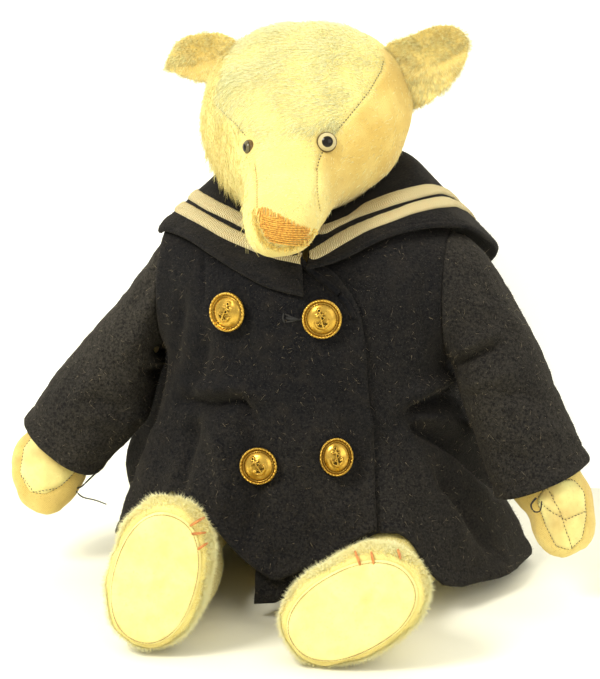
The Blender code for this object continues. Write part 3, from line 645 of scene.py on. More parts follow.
def hairTree(segments):
    # hairs grown over a surface: density, lean and length come from its attributes
    n = Nodes(
        "growHairs" + str(segments),
        [
            ("Per square metre", "NodeSocketFloat"), ("Length", "NodeSocketFloat"),
            ("Thickness", "NodeSocketFloat"), ("Stand", "NodeSocketFloat"),
            ("Stray", "NodeSocketFloat"), ("Curl", "NodeSocketFloat"), ("Seed", "NodeSocketInt"),
            ("Material", "NodeSocketMaterial")
        ]
    )
    seed = n.given("Seed")
    density = n.math("MULTIPLY", n.named("pileDensity"), n.given("Per square metre"))
    spread = n.add(
        "GeometryNodeDistributePointsOnFaces",
        {"Mesh": n.given("Geometry"), "Density": density, "Seed": seed}
    )
    lean = n.vector("SCALE", spread.outputs["Normal"], scale=n.given("Stand"))
    lean = n.vector("ADD", lean, n.named("pileFlow", "FLOAT_VECTOR"))
    stray = n.randomVector((-1, -1, -1), (1, 1, 1), seed)
    lean = n.vector("ADD", lean, n.vector("SCALE", stray, scale=n.given("Stray")))
    turn = n.add("FunctionNodeAlignRotationToVector", axis="Z")
    n.put(turn.inputs["Vector"], lean)
    twist = n.add("FunctionNodeRotateRotation", rotation_space="LOCAL")
    n.put(twist.inputs["Rotation"], turn.outputs[0])
    spin = n.add("ShaderNodeCombineXYZ")
    n.put(spin.inputs["Z"], n.randomFloat(0.0, 6.283, n.math("ADD", seed, 5)))
    toTurn = n.add("FunctionNodeEulerToRotation", {"Euler": spin.outputs[0]})
    n.put(twist.inputs["Rotate By"], toTurn.outputs[0])
    hair = n.add(
        "GeometryNodeMeshCone",
        {
            "Vertices": 3, "Side Segments": segments, "Radius Top": 0.12 if segments > 1 else 0.0,
            "Radius Bottom": 0.5, "Depth": 1.0
        }, fill_type="NGON"
    )
    place = n.add("GeometryNodeInputPosition")
    split = n.add("ShaderNodeSeparateXYZ", {"Vector": place.outputs[0]})
    bend = n.math("MULTIPLY", n.math("POWER", split.outputs[2], 2.0), n.given("Curl"))
    push = n.add("ShaderNodeCombineXYZ", {"X": bend})
    bent = n.add(
        "GeometryNodeSetPosition", {"Geometry": hair.outputs["Mesh"], "Offset": push.outputs[0]}
    )
    size = n.math("MULTIPLY", n.given("Length"), n.randomFloat(0.55, 1.25, n.math("ADD", seed, 9)))
    size = n.math("MULTIPLY", size, n.named("pileLength"))
    return n.scatter(spread.outputs["Points"], bent, twist, size)


def stitchTree():
    # thread stitches along a path, each a rounded dash
    n = Nodes(
        "sewAlong",
        [
            ("Pitch", "NodeSocketFloat"), ("Stitch", "NodeSocketFloat"),
            ("Thickness", "NodeSocketFloat"), ("Stray", "NodeSocketFloat"),
            ("Across", "NodeSocketFloat"), ("Seed", "NodeSocketInt"),
            ("Material", "NodeSocketMaterial")
        ]
    )
    points = n.add(
        "GeometryNodeCurveToPoints", {"Curve": n.given("Geometry"), "Length": n.given("Pitch")},
        mode="LENGTH"
    )
    turn = n.add("FunctionNodeAlignRotationToVector", axis="Z")
    stray = n.randomVector((-1, -1, -1), (1, 1, 1), n.given("Seed"))
    run = n.vector(
        "ADD", points.outputs["Tangent"], n.vector("SCALE", stray, scale=n.given("Stray"))
    )
    side = n.vector("SCALE", points.outputs["Normal"], scale=n.given("Across"))
    n.put(turn.inputs["Vector"], n.vector("ADD", run, side))
    dash = n.add("GeometryNodeMeshUVSphere", {"Segments": 6, "Rings": 5, "Radius": 0.5})
    size = n.math("MULTIPLY", n.given("Stitch"), n.randomFloat(0.8, 1.2, n.given("Seed")))
    return n.scatter(points.outputs["Points"], dash, turn, size)


growOne = hairTree(1)
growCurved = hairTree(2)
sewAlong = stitchTree()


def runTree(name, source, tree, values, material):
    # runs a tree on an object and keeps the result as a plain mesh of its own
    change = source.modifiers.new("grow", "NODES")
    change.node_group = tree
    for item in tree.interface.items_tree:
        if item.item_type == "SOCKET" and item.in_out == "INPUT" and item.name in values:
            change[item.identifier] = values[item.name]
        if item.item_type == "SOCKET" and item.in_out == "INPUT" and item.name == "Material":
            change[item.identifier] = material
    graph = bpy.context.evaluated_depsgraph_get()
    graph.update()
    mesh = bpy.data.meshes.new_from_object(source.evaluated_get(graph))
    source.modifiers.remove(change)
    mesh.name = name
    for attribute in list(mesh.attributes):
        if attribute.name.startswith("pile"):
            mesh.attributes.remove(attribute)
    if not mesh.materials:
        mesh.materials.append(material)
    item = bpy.data.objects.new(name, mesh)
    bpy.context.scene.collection.objects.link(item)
    return item


def growPile(name, source, material, body, settings, curved=False):
    item = runTree(name, source, growCurved if curved else growOne, settings, material)
    points = pointsOf(item)
    if points[:, 2].min() < 0.1 * mm:
        points[:, 2] = np.maximum(points[:, 2], 0.1 * mm + 0.02 * (points[:, 2] + 0.02).clip(0))
        item.data.vertices.foreach_set("co", points.astype(np.float32).ravel())
    item.data.polygons.foreach_set("use_smooth", [True] * len(item.data.polygons))
    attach(item, body)
    return item


def stitches(pitch, length, thickness, stray, across, seed):
    return {
        "Pitch": pitch * mm, "Stitch": length * mm, "Thickness": thickness * mm, "Stray": stray,
        "Across": across, "Seed": seed
    }


def sew(name, lines, material, body, settings):
    # stitches along several paths, joined as one piece
    data = bpy.data.curves.new(name, "CURVE")
    data.dimensions = "3D"
    for line in lines:
        if len(line) < 2:
            continue
        spline = data.splines.new("POLY")
        spline.points.add(len(line) - 1)
        for point, place in zip(spline.points, line):
            point.co = (*place, 1)
    path = bpy.data.objects.new(name + "Path", data)
    bpy.context.scene.collection.objects.link(path)
    item = runTree(name, path, sewAlong, settings, material)
    item.data.polygons.foreach_set("use_smooth", [True] * len(item.data.polygons))
    bpy.data.objects.remove(path, do_unlink=True)
    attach(item, body)
    return item


def threadRings(line, sides, radiusAt):
    # rings round a path; radiusAt gives the radius at a share of its length
    line = np.asarray([list(p) for p in line], float)
    turn = np.linspace(0, 2 * np.pi, sides, endpoint=False)[:, None]
    rings = []
    for k, place in enumerate(line):
        a = line[max(k - 1, 0)]
        b = line[min(k + 1, len(line) - 1)]
        along = Vector(b - a).normalized()
        across = along.orthogonal().normalized()
        upward = along.cross(across)
        radius = radiusAt(k / (len(line) - 1))
        rings.append(
            place + (np.array(across) * np.cos(turn) + np.array(upward) * np.sin(turn)) * radius
        )
    return rings


def strand(name, line, thickness, material, body, taper=0.6, sides=6):
    # one closed strand of thread along a path, thinner towards its end
    rings = threadRings(line, sides, lambda u: thickness / 2 * (1 - (1 - taper) * u))
    item = makeMesh(name, *solidOf(rings), material)
    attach(item, body)
    return item


print("hair and stitch trees built")

# Head: the same sections as the solid, in the head's own frame, in millimetres
head = {
    "centre": (-2.4, 0.0, 203.0), "pitch": 23.0, "roll": 4.5, "neckPlane": -30.0, "square": 2.25,
    "taper": (0.18, 0.05), "rows": 150, "columns": 190,
    "sections": [
        (-47.4, 0.8, 0.8, -2.0), (-46.3, 8.5, 7.5, -2.0), (-44.0, 17.0, 15.0, -2.0),
        (-38.0, 28.0, 24.0, -2.0), (-26.0, 39.0, 33.0, -1.0), (-10.0, 45.0, 37.0, 0.0),
        (6.0, 45.0, 37.0, -1.0), (20.0, 40.0, 33.5, -2.0), (32.0, 31.5, 28.0, -2.5),
        (43.0, 23.5, 22.5, -3.0), (54.0, 19.0, 19.0, -3.5), (66.0, 17.0, 17.0, -3.5),
        (78.0, 15.5, 15.0, -3.0), (86.0, 12.5, 12.0, -2.5), (90.5, 7.5, 7.5, -2.0),
        (92.3, 1.0, 1.0, -2.0)
    ], "seamDepth": 0.55
}
eye = {"aside": 17.0, "forward": 44.0, "up": 14.0, "radius": 4.4, "socket": 1.1}
tilt = Matrix.Rotation(
    math.radians(-head["roll"]), 3, "Y"
) @ Matrix.Rotation(math.radians(head["pitch"]), 3, "X")
headForward = np.array(tilt @ Vector((0, -1, 0)))
headUp = np.array(tilt @ Vector((0, 0, 1)))
headAside = np.array(tilt @ Vector((1, 0, 0)))
headAxes = np.array([headAside, headForward, headUp])


def inHead(aside, forward, up):
    return np.array(head["centre"]) + headAside * aside + headForward * forward + headUp * up


def toHead(points):
    # millimetres aside, forward and up in the head's frame
    return (np.asarray(points) / mm - np.array(head["centre"])) @ headAxes.T


def fromEye(own, side):
    # distance from an eye of points in the head's frame
    place = np.array([side * eye["aside"], eye["forward"], eye["up"]])
    return np.linalg.norm(own - place, axis=1)


def underHead(x, y, drop):
    aside = headUp[0] * (x - head["centre"][0])
    back = headUp[1] * (y - head["centre"][1])
    return head["centre"][2] - (drop + aside + back) / headUp[2]


def ovalRing(centre, across, upward, halfAcross, halfUp, square, count):
    turn = np.linspace(0, 2 * np.pi, count, endpoint=False)
    x = signedPower(np.cos(turn), 2 / square)[:, None] * halfAcross
    y = signedPower(np.sin(turn), 2 / square)[:, None] * halfUp
    return np.asarray(centre) + np.asarray(across) * x + np.asarray(upward) * y


def plainHead(rows, columns):
    rings = []
    for t in np.linspace(0, 1, rows):
        forward, half, tall, height = alongRows(head["sections"], t)
        centre = inHead(0, forward, height)
        ring = ovalRing(centre, headAside, headUp, half, tall, head["square"], columns)
        aside = (ring - centre) @ headAside
        below = np.maximum(-((ring - centre) @ headUp) / tall, 0)
        taper = np.where(aside > 0, head["taper"][0], head["taper"][1])
        fade = smoothStep(58.1, 31.7, forward)
        rings.append(ring - headAside * (aside * taper * below * fade)[:, None])
    return np.array(rings) * mm


# Seams and marks read off the photograph, in pixels
seams = {
    "rightBrow": [(383, 62), (381, 71), (370, 90), (357, 107), (345, 121), (335, 133)],
    "rightEye": [(322, 153), (319, 160), (317, 169)],
    "rightSnout": [(317, 170), (317, 185), (318, 198), (320, 211)],
    "leftBrow": [(217, 105), (226, 115), (236, 124), (245, 135)],
    "leftSnout": [(255, 164), (257, 180), (257, 207)]
}

rings = plainHead(head["rows"], head["columns"])
base = rings.reshape(-1, 3)
own = toHead(base)
lumps = fractal(base, 34 * mm, 1, 3) * 1.3 + fractal(base, 11 * mm, 2, 2) * 0.28
outward = outwardOf(rings, base.mean(0))
push = lumps.copy()
for side in (1, -1):
    away = fromEye(own, side)
    push -= eye["socket"] * np.exp(-((away / 8.0) ** 2))
    cheek = np.array([side * 30, 12, -12])
    push += 1.2 * np.exp(-((np.linalg.norm(own - cheek, axis=1) / 20.0) ** 2))
    brow = np.array([side * 15, 34, 24])
    push += 0.8 * np.exp(-((np.linalg.norm(own - brow, axis=1) / 11.0) ** 2))
pixels = toPixels(base)
facing = smoothStep(-0.05, 0.25, outward @ camBack)
for line in seams.values():
    away, along, side = nearLine(pixels, line)
    away = away / 2.25
    push -= head["seamDepth"] * np.exp(-((away / 0.9) ** 2)) * facing
    push += 0.28 * np.exp(-(((away - 3.0) / 2.2) ** 2)) * facing
moved = base + outward * (push * mm)[:, None]
own = toHead(moved)
low = head["neckPlane"] - own[:, 2]
lift = np.where(low > 0, low, 0.0)
moved = moved + headUp * (lift * mm)[:, None]
headSkin = makeMesh("head_linen", *solidOf(moved.reshape(rings.shape)), linen)
headTree = treeOf(headSkin)


def seamInHead(name):
    return toHead(np.array([list(p) for p in onSurface(headTree, denser(seams[name], 4))]))


rightSeam = np.concatenate(
    [seamInHead("rightBrow"), seamInHead("rightEye"), seamInHead("rightSnout")]
)
leftSeam = np.concatenate([seamInHead("leftBrow"), seamInHead("leftSnout")])
rightSeam = rightSeam[np.argsort(rightSeam[:, 1])]
leftSeam = leftSeam[np.argsort(leftSeam[:, 1])]


def headRegions(own):
    # shares of forehead, near cheek, far cheek and snout at points of the head
    right = np.interp(own[:, 1], np.r_[-46, -20, rightSeam[:, 1]], np.r_[8, 26, rightSeam[:, 0]])
    left = np.interp(own[:, 1], np.r_[-46, -20, leftSeam[:, 1]], np.r_[-8, -26, leftSeam[:, 0]])
    bareCheek = smoothStep(-1.0, 2.5, own[:, 0] - right)
    furCheek = smoothStep(-1.0, 2.5, left - own[:, 0])
    under = smoothStep(2, -10, own[:, 2])
    furCheek = np.maximum(furCheek, under * smoothStep(2, -6, own[:, 0]))
    bareCheek = np.maximum(bareCheek, under * smoothStep(-2, 6, own[:, 0]))
    snout = smoothStep(40, 54, own[:, 1])
    return bareCheek, furCheek, snout


own = toHead(pointsOf(headSkin))
points = pointsOf(headSkin)
normals = vertexNormals(headSkin)
bareCheek, furCheek, snout = headRegions(own)
patchy = fractal(points, 14 * mm, 5, 3)
setFloats(headSkin, "tone", np.clip(0.85 * bareCheek * smoothStep(75, 40, own[:, 1]) + 0.15, 0, 1))
# darker towards the head's underside and round the eye sockets: painted shade; the patchy part is dirt
grimeAndShade = (0.16 + 0.16 * bareCheek) * smoothStep(4.0, -22, own[:, 2]) + 0.10 * np.clip(patchy, 0, 1)
for side in (1, -1):
    away = fromEye(own, side)
    grimeAndShade += 0.42 * np.exp(-((away / 6.5) ** 2))
setFloats(headSkin, "grimeAndShade", np.clip(grimeAndShade, 0, 1))
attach(headSkin, "head")
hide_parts("head")


def flowAcross(normals, dx, dy):
    # a lean along the surface that reads as a direction in the picture
    want = camRight * np.asarray(dx)[:, None] - camUp * np.asarray(dy)[:, None]
    want = want - normals * np.sum(want * normals, 1)[:, None]
    size = np.linalg.norm(want, axis=1, keepdims=True)
    return want / np.maximum(size, 0.35)


def skinCopy(name, item):
    # a bare copy of a surface for hairs to grow from
    copy = bpy.data.objects.new(name, item.data.copy())
    bpy.context.scene.collection.objects.link(copy)
    return copy


def dropObject(item):
    bpy.data.objects.remove(item, do_unlink=True)


swirl = fractal(points, 17 * mm, 9, 2)
backward = smoothStep(0.2, -0.3, normals @ camBack)
pile = {
    "crown": {
        "perMm": 2.3, "length": 4.8, "thickness": 0.20, "stand": 0.20, "stray": 0.28, "curl": 0.18
    },
    "cheek": {
        "perMm": 1.1, "length": 6.8, "thickness": 0.30, "stand": 0.24, "stray": 0.32, "curl": 0.22
    }
}


def pileValues(p, seed):
    return {
        "Per square metre": p["perMm"] * 1e6, "Length": p["length"] * mm,
        "Thickness": p["thickness"] * mm, "Stand": p["stand"], "Stray": p["stray"],
        "Curl": p["curl"], "Seed": seed
    }


seed = skinCopy("headSeed", headSkin)
crownShare = (1 - bareCheek) * (1 - furCheek) * (1 - 0.93 * snout)
crownShare *= np.clip(0.95 + 0.5 * patchy, 0.25, 1.2)
crownShare += 0.05 * bareCheek + 0.05 * snout
clear = np.ones(len(points))
for side in (1, -1):
    clear *= smoothStep(5.0, 6.5, fromEye(own, side))
clear *= (own[:, 2] > head["neckPlane"] + 1.0)
clear *= 1 - smoothStep(50, 60, own[:, 1]) * smoothStep(-5, -10, own[:, 2])
crownShare *= clear
dx = -0.85 + 0.7 * swirl
dy = 0.35 + 0.9 * swirl
flow = flowAcross(normals, dx, dy)
back = -headForward * 0.5 - headUp * 0.4
flow = flow * (1 - backward)[:, None] + back * backward[:, None]
setFloats(seed, "pileDensity", crownShare)
setFloats(
    seed, "pileLength", np.clip(0.85 + 0.5 * patchy - 0.45 * snout - 0.3 * bareCheek, 0.3, 1.3)
)
setVectors(seed, "pileFlow", flow)
growPile("head_pile_crown", seed, headPile, "head", pileValues(pile["crown"], 3))
dropObject(seed)

seed = skinCopy("cheekSeed", headSkin)
cheekShare = furCheek * (1 - 0.9 * snout) * clear * np.clip(0.9 + 0.6 * patchy, 0.2, 1.2)
setFloats(seed, "pileDensity", cheekShare)
setFloats(
    seed, "pileLength", np.clip(0.5 + 0.5 * smoothStep(12, -14, own[:, 2]) + 0.25 * swirl, 0.3, 1.2)
)
dx = 0.5 + 0.5 * swirl
dy = 0.85 + 0.2 * patchy
flow = flowAcross(normals, dx, dy)
flow = flow * (1 - backward)[:, None] + back * backward[:, None]
setVectors(seed, "pileFlow", flow)
growPile("head_pile_cheek", seed, cheekPile, "head", pileValues(pile["cheek"], 4), curved=True)
dropObject(seed)
print("head built")


# Ears: outlines read off the photograph, laid on the plane each ear stands in
ears = {
    "ear_left": {
        "centre": (46.5, 6.0, 226.5), "face": (0.15, -1, 0.05),
        "outline": [
            (410, 110), (422, 106), (433, 99), (446, 88), (458, 75), (466, 60), (469, 44),
            (464, 32), (452, 25), (438, 25), (424, 29), (412, 35), (400, 39), (387, 43), (384, 54),
            (388, 66), (396, 80), (402, 95)
        ], "middle": (428, 62), "thickness": 5.0, "cup": 5.5,
        "fold": [(384, 52), (412, 68), (436, 66), (460, 50)]
    },
    "ear_right": {
        "centre": (-48.0, 6.0, 223.5), "face": (-0.15, -1, 0.05),
        "outline": [
            (166, 69), (170, 55), (177, 43), (188, 36), (204, 33), (222, 33), (236, 38), (240, 50),
            (234, 66), (222, 78), (211, 82), (198, 81), (187, 77), (176, 72)
        ], "middle": (200, 56), "thickness": 5.0, "cup": 4.0,
        "fold": [(238, 50), (214, 58), (196, 66), (184, 66)]
    }
}


def buildEar(name, side):
    ear = ears[name]
    face = np.array(ear["face"], float)
    face /= np.linalg.norm(face)
    centre = np.array(ear["centre"]) * mm

    def onPlane(px, py):
        ray = np.array(pixelRay(px, py))
        return camPlace + ray * (((centre - camPlace) @ face) / (ray @ face))

    outline = np.array([onPlane(*p) for p in ear["outline"]])
    middle = onPlane(*ear["middle"])
    edge = evenLoop(outline, 120, 2)
    rows = 40
    rings = []
    for k in range(rows):
        u = (k + 0.5) / rows
        turn = math.pi * u
        share = math.sin(turn)
        share = share ** 0.55
        depth = math.cos(turn) * ear["thickness"] / 2 * (1 - 0.35 * share)
        ring = middle + (edge - middle) * share
        cup = ear["cup"] * (share**2 - 0.55)
        ring = ring + face * ((depth + cup) * mm)
        rings.append(ring)
    rings = np.array(rings)
    flat = rings.reshape(-1, 3)
    pixels = toPixels(flat)
    away, along, sideOf = nearLine(pixels, ear["fold"])
    wobble = fractal(flat, 9 * mm, 11 + side, 3)
    flat = flat + face * (wobble * 1.6 * mm)[:, None]
    flat = flat - face * (1.1 * np.exp(-((away / 5.0) ** 2)) * mm)[:, None]
    item = makeMesh(name + "_cloth", *solidOf(flat.reshape(rings.shape)), linen)
    points = pointsOf(item)
    normals = vertexNormals(item)
    pixels = toPixels(points)
    away, along, sideOf = nearLine(pixels, ear["fold"])
    setFloats(item, "tone", np.full(len(points), 0.75))
    # darker along the fold: painted shade in the crease; the noise part is dirt
    grimeAndShade = 0.12 + 0.15 * np.exp(-((away / 5.0) ** 2)) + 0.15 * fractal(points, 7 * mm, 3, 2)
    setFloats(item, "grimeAndShade", np.clip(grimeAndShade, 0, 1))
    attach(item, "head")
    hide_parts(name)
    seed = skinCopy("earSeed", item)
    setFloats(seed, "pileDensity", np.clip(0.85 + 0.4 * fractal(points, 5 * mm, 4, 2), 0.3, 1.3))
    setFloats(seed, "pileLength", np.clip(0.8 + 0.5 * fractal(points, 6 * mm, 8, 2), 0.3, 1.4))
    outwardFlow = points - middle
    outwardFlow /= np.maximum(np.linalg.norm(outwardFlow, axis=1, keepdims=True), 1e-6)
    outwardFlow = outwardFlow * 0.8 - np.array([0, 0, 0.45])
    setVectors(seed, "pileFlow", outwardFlow)
    growPile(
        name + "_pile", seed, earPile, "head",
        pileValues(
            {
                "perMm": 4.2, "length": 3.6, "thickness": 0.21, "stand": 0.36, "stray": 0.6,
                "curl": 0.25
            }, 21 + side
        )
    )
    dropObject(seed)


buildEar("ear_left", 1)
buildEar("ear_right", -1)
print("ears built")


# Eyes: painted behind clear glass
def glassEye(name="glassEye"):
    s = Shade(name, (0.02, 0.018, 0.015), 0.08)
    turn = s.attribute("off")
    # pale sets how bright the painted ring is; it is lowered on the right eye as painted shade
    pale = s.attribute("pale")
    ring = s.math("MULTIPLY", s.ramp(turn, 0.56, 0.64), s.ramp(turn, 1.16, 1.04))
    colour = s.mix(s.math("MULTIPLY", ring, pale), (0.010, 0.008, 0.006), (0.50, 0.42, 0.22))
    colour = s.mix(s.ramp(turn, 1.16, 1.24), colour, (0.13, 0.08, 0.03))
    s.shader.inputs["Specular IOR Level"].default_value = 0.10
    s.shader.inputs["Coat Weight"].default_value = 0.25
    s.shader.inputs["Coat Roughness"].default_value = 0.02
    return s.done(colour)


glass = glassEye()


def buildEye(name, side):
    centre = inHead(side * eye["aside"], eye["forward"], eye["up"]) * mm
    eyeRadius = eye["radius"]
    if side < 0:
        centre = centre - headForward * 0.6 * mm - headAside * side * 0.6 * mm - headUp * 1.0 * mm
        eyeRadius = 0.72 * eyeRadius
    if side > 0:
        look = camBack + headAside * 0.10
    else:
        look = camBack * 0.45 - camRight * 0.85 - camUp * 0.1
    look = Vector(look).normalized()
    across = look.orthogonal().normalized()
    upward = look.cross(across)
    rings = []
    for u in np.linspace(0.02, 0.98, 44):
        turn = math.pi * u
        radius = eyeRadius * math.sin(turn)
        height = eyeRadius * math.cos(turn)
        if height > 0:
            height *= 0.92
        ring = ovalRing((0, 0, 0), across, upward, radius, radius, 2.0, 64)
        rings.append(centre + (ring + np.array(look) * height) * mm)
    item = makeMesh(name + "_glass", *solidOf(rings), glass)
    points = pointsOf(item) - centre
    points /= np.linalg.norm(points, axis=1, keepdims=True)
    setFloats(item, "off", np.arccos(np.clip(points @ np.array(look), -1, 1)))
    # the right eye's ring is dimmed to 0.22: painted shade on the sunken eye
    setFloats(item, "pale", np.full(len(points), 1.0 if side > 0 else 0.22))
    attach(item, "head")
    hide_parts(name)


buildEye("eye_left", 1)
buildEye("eye_right", -1)


# Nose: satin stitches laid side by side over the snout's end
nose = {
    "outline": [
        (258, 209), (266, 208), (277, 214), (290, 220), (302, 226), (310, 229), (308, 235),
        (300, 239), (288, 242), (276, 243), (267, 236), (261, 224)
    ], "stitches": 34, "crossStitches": 13, "thickness": 0.62, "tufts": 260, "tuftThickness": 0.32,
    "knotRadius": 1.3
}


def insideOutline(line, px):
    # top and bottom of an outline at one pixel column
    cuts = []
    for a, b in zip(line, line[1:] + line[:1]):
        if (a[0] - px) * (b[0] - px) < 0:
            cuts.append(a[1] + (b[1] - a[1]) * (px - a[0]) / (b[0] - a[0]))
    return (min(cuts), max(cuts)) if len(cuts) >= 2 else None


strands = []
xs = np.linspace(259, 309, nose["stitches"])
for k, px in enumerate(xs):
    span = insideOutline(nose["outline"], px)
    if span is None:
        continue
    top = span[0] + rng.uniform(-1.2, 0.8)
    low = span[1] + rng.uniform(-0.8, 1.2)
    lean = rng.uniform(-1.2, 1.2)
    line = [(px + lean * (1 - v) - 1.5 * v, top + (low - top) * v) for v in np.linspace(0, 1, 12)]
    strands.append(onSurface(headTree, line, 0.35 * mm))
for k, py in enumerate(np.linspace(214, 240, nose["crossStitches"])):
    left = 262 + max(0, py - 226) * 0.5 + rng.uniform(-1.0, 2.0)
    right = min(309, 268 + (py - 210) * 2.6) + rng.uniform(-2.0, 1.0)
    line = [
        (left + (right - left) * v, py + 1.5 * math.sin(v * 3) + 4 * v)
        for v in np.linspace(0, 1, 12)
    ]
    strands.append(onSurface(headTree, line, 0.75 * mm))


def strandMesh(name, lines, thickness, material, sides=6, taper=0.7):
    # several closed strands of thread as one mesh
    allPoints, allFaces, start = [], [], 0
    for line in lines:
        if len(line) < 2:
            continue
        rings = threadRings(
            line, sides, lambda u: thickness / 2 * (1 - (1 - taper) * abs(2 * u - 1) ** 3)
        )
        points, faces = solidOf(rings)
        allFaces += [tuple(i + start for i in f) for f in faces]
        allPoints.append(points)
        start += len(points)
    return makeMesh(name, np.concatenate(allPoints), allFaces, material)


noseThreads = strandMesh("nose_stitches", strands, nose["thickness"] * mm, noseThread)
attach(noseThreads, "head")
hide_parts("nose")

tufts = []
for k in range(nose["tufts"]):
    u = rng.uniform(0, 1)
    edge = [(255, 210), (257, 226), (264, 240), (276, 247), (290, 247), (304, 241), (313, 234)]
    place = np.asarray(alongRows(edge, u)) + rng.normal(0, 1.3, 2)
    start = onSurface(headTree, [tuple(place)], 0.1 * mm)
    if not start:
        continue
    drop = rng.uniform(1.2, 2.8) * mm
    lean = camRight * rng.uniform(
        -0.6, 0.6
    ) - camUp * rng.uniform(0.3, 1.0) + camBack * rng.uniform(0.2, 0.8)
    p = np.array(start[0])
    tufts.append([p, p + lean * drop * 0.5, p + lean * drop * 0.9 - camUp * drop * 0.25])
tuftItem = strandMesh(
    "nose_tufts", tufts, nose["tuftThickness"] * mm, goldThread, sides=4, taper=0.4
)
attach(tuftItem, "head")
knotAt = onSurface(headTree, [(313, 232)], 0.8 * mm)
if knotAt:
    centre = np.array(knotAt[0])
    coil = []
    for a in np.linspace(0, 6 * math.pi, 60):
        r = nose["knotRadius"] * mm * (0.6 + 0.4 * math.sin(a * 0.7))
        coil.append(
            centre + camRight * math.cos(a) * r + camUp * math.sin(a * 1.3) * r + camBack
            * math.sin(a * 0.5) * 0.7 * mm
        )
    strand("nose_knot", coil, 0.6 * mm, goldThread, "head")

stitchPaths = []
for name in ("rightBrow", "rightEye", "leftBrow"):
    stitchPaths.append(onSurface(headTree, denser(seams[name], 3), 0.12 * mm))
sew("head_seam_stitches", stitchPaths, darkThread, "head", stitches(1.55, 1.0, 0.42, 0.15, 0.0, 2))
palePaths = [
    onSurface(headTree, denser(seams[n], 3), 0.1 * mm) for n in ("rightSnout", "leftSnout")
]
sew("snout_seam_stitches", palePaths, brownThread, "head", stitches(1.3, 1.0, 0.34, 0.1, 0.3, 3))
print("face stitched")

# Arms and paws: the sleeve's sections give the part of the arm that it hides
sleeves = {
    "left": [
        (58.0, 154.0, 60.5, 102.0, -8.0, 26.0), (63.4, 155.0, 63.4, 101.0, -8.0, 27.0),
        (75.5, 148.0, 64.8, 99.0, -9.0, 26.5), (88.0, 131.5, 67.0, 92.0, -11.0, 25.5),
        (100.0, 111.5, 71.5, 81.0, -14.0, 24.0), (110.5, 92.0, 77.0, 68.0, -18.0, 22.5),
        (119.0, 75.0, 82.0, 55.5, -22.5, 21.5), (126.0, 61.5, 87.5, 44.5, -27.0, 20.8)
    ],
    "right": [
        (58.0, 149.5, 60.5, 102.0, -8.0, 25.5), (63.4, 150.0, 63.4, 101.0, -8.0, 26.0),
        (72.0, 137.5, 64.6, 98.5, -10.0, 26.0), (83.5, 122.0, 66.0, 90.0, -13.0, 25.5),
        (96.0, 107.0, 68.8, 78.5, -16.0, 24.0), (107.5, 93.0, 74.0, 66.0, -19.0, 23.0),
        (117.0, 79.5, 83.5, 54.0, -21.5, 22.0), (125.0, 67.5, 92.5, 43.5, -24.0, 21.3)
    ]
}
sleeveWall = 2.2
armInSleeve = 3.2
shoulder = {"forward": -8.0, "up": 128.0}
shoulderSections = [
    (38.5, -8.0, 128.0, 1.0, 1.0, 0.0), (38.5, -8.0, 128.0, 13.5, 13.5, 0.0),
    (40.5, -8.0, 128.0, 18.0, 18.0, 0.0), (49.0, -8.0, 128.0, 20.0, 20.0, 0.0),
    (60.0, -8.2, 128.0, 19.5, 19.5, 2.0)
]
pawSections = {
    "left": [
        (114.6, -30.5, 43.5, 14.6, 14.0, 69.0), (117.0, -34.0, 35.5, 13.8, 12.8, 73.0),
        (119.0, -37.0, 28.5, 11.5, 10.5, 76.0), (120.0, -38.5, 24.5, 6.5, 6.0, 76.0),
        (120.3, -38.9, 23.4, 1.0, 1.0, 76.0)
    ],
    "right": [
        (113.5, -28.5, 48.5, 17.0, 14.2, 58.0), (116.5, -31.5, 41.0, 16.0, 13.2, 56.0),
        (119.0, -34.0, 34.5, 12.4, 10.4, 55.0), (120.5, -35.5, 30.5, 6.8, 6.0, 55.0),
        (120.9, -35.9, 29.5, 1.0, 1.0, 55.0)
    ]
}
pawMarks = {
    "left": {
        "pad": [
            (537, 500), (545, 487), (560, 480), (574, 480), (584, 492), (586, 515), (582, 538),
            (570, 550), (556, 546), (546, 526)
        ],
        "seams": [
            [(536, 499), (552, 512), (566, 520), (584, 512)],
            [(548, 489), (560, 512), (566, 530), (572, 548)]
        ], "rust": [(583, 512), (570, 543), (538, 498), (560, 515)]
    },
    "right": {
        "pad": [
            (24, 448), (34, 435), (50, 430), (66, 436), (78, 452), (78, 468), (64, 484), (46, 494),
            (30, 492), (20, 474)
        ], "seams": [[(14, 466), (34, 492), (58, 488), (78, 470)]],
        "rust": [(56, 446), (32, 482), (18, 460)]
    }
}


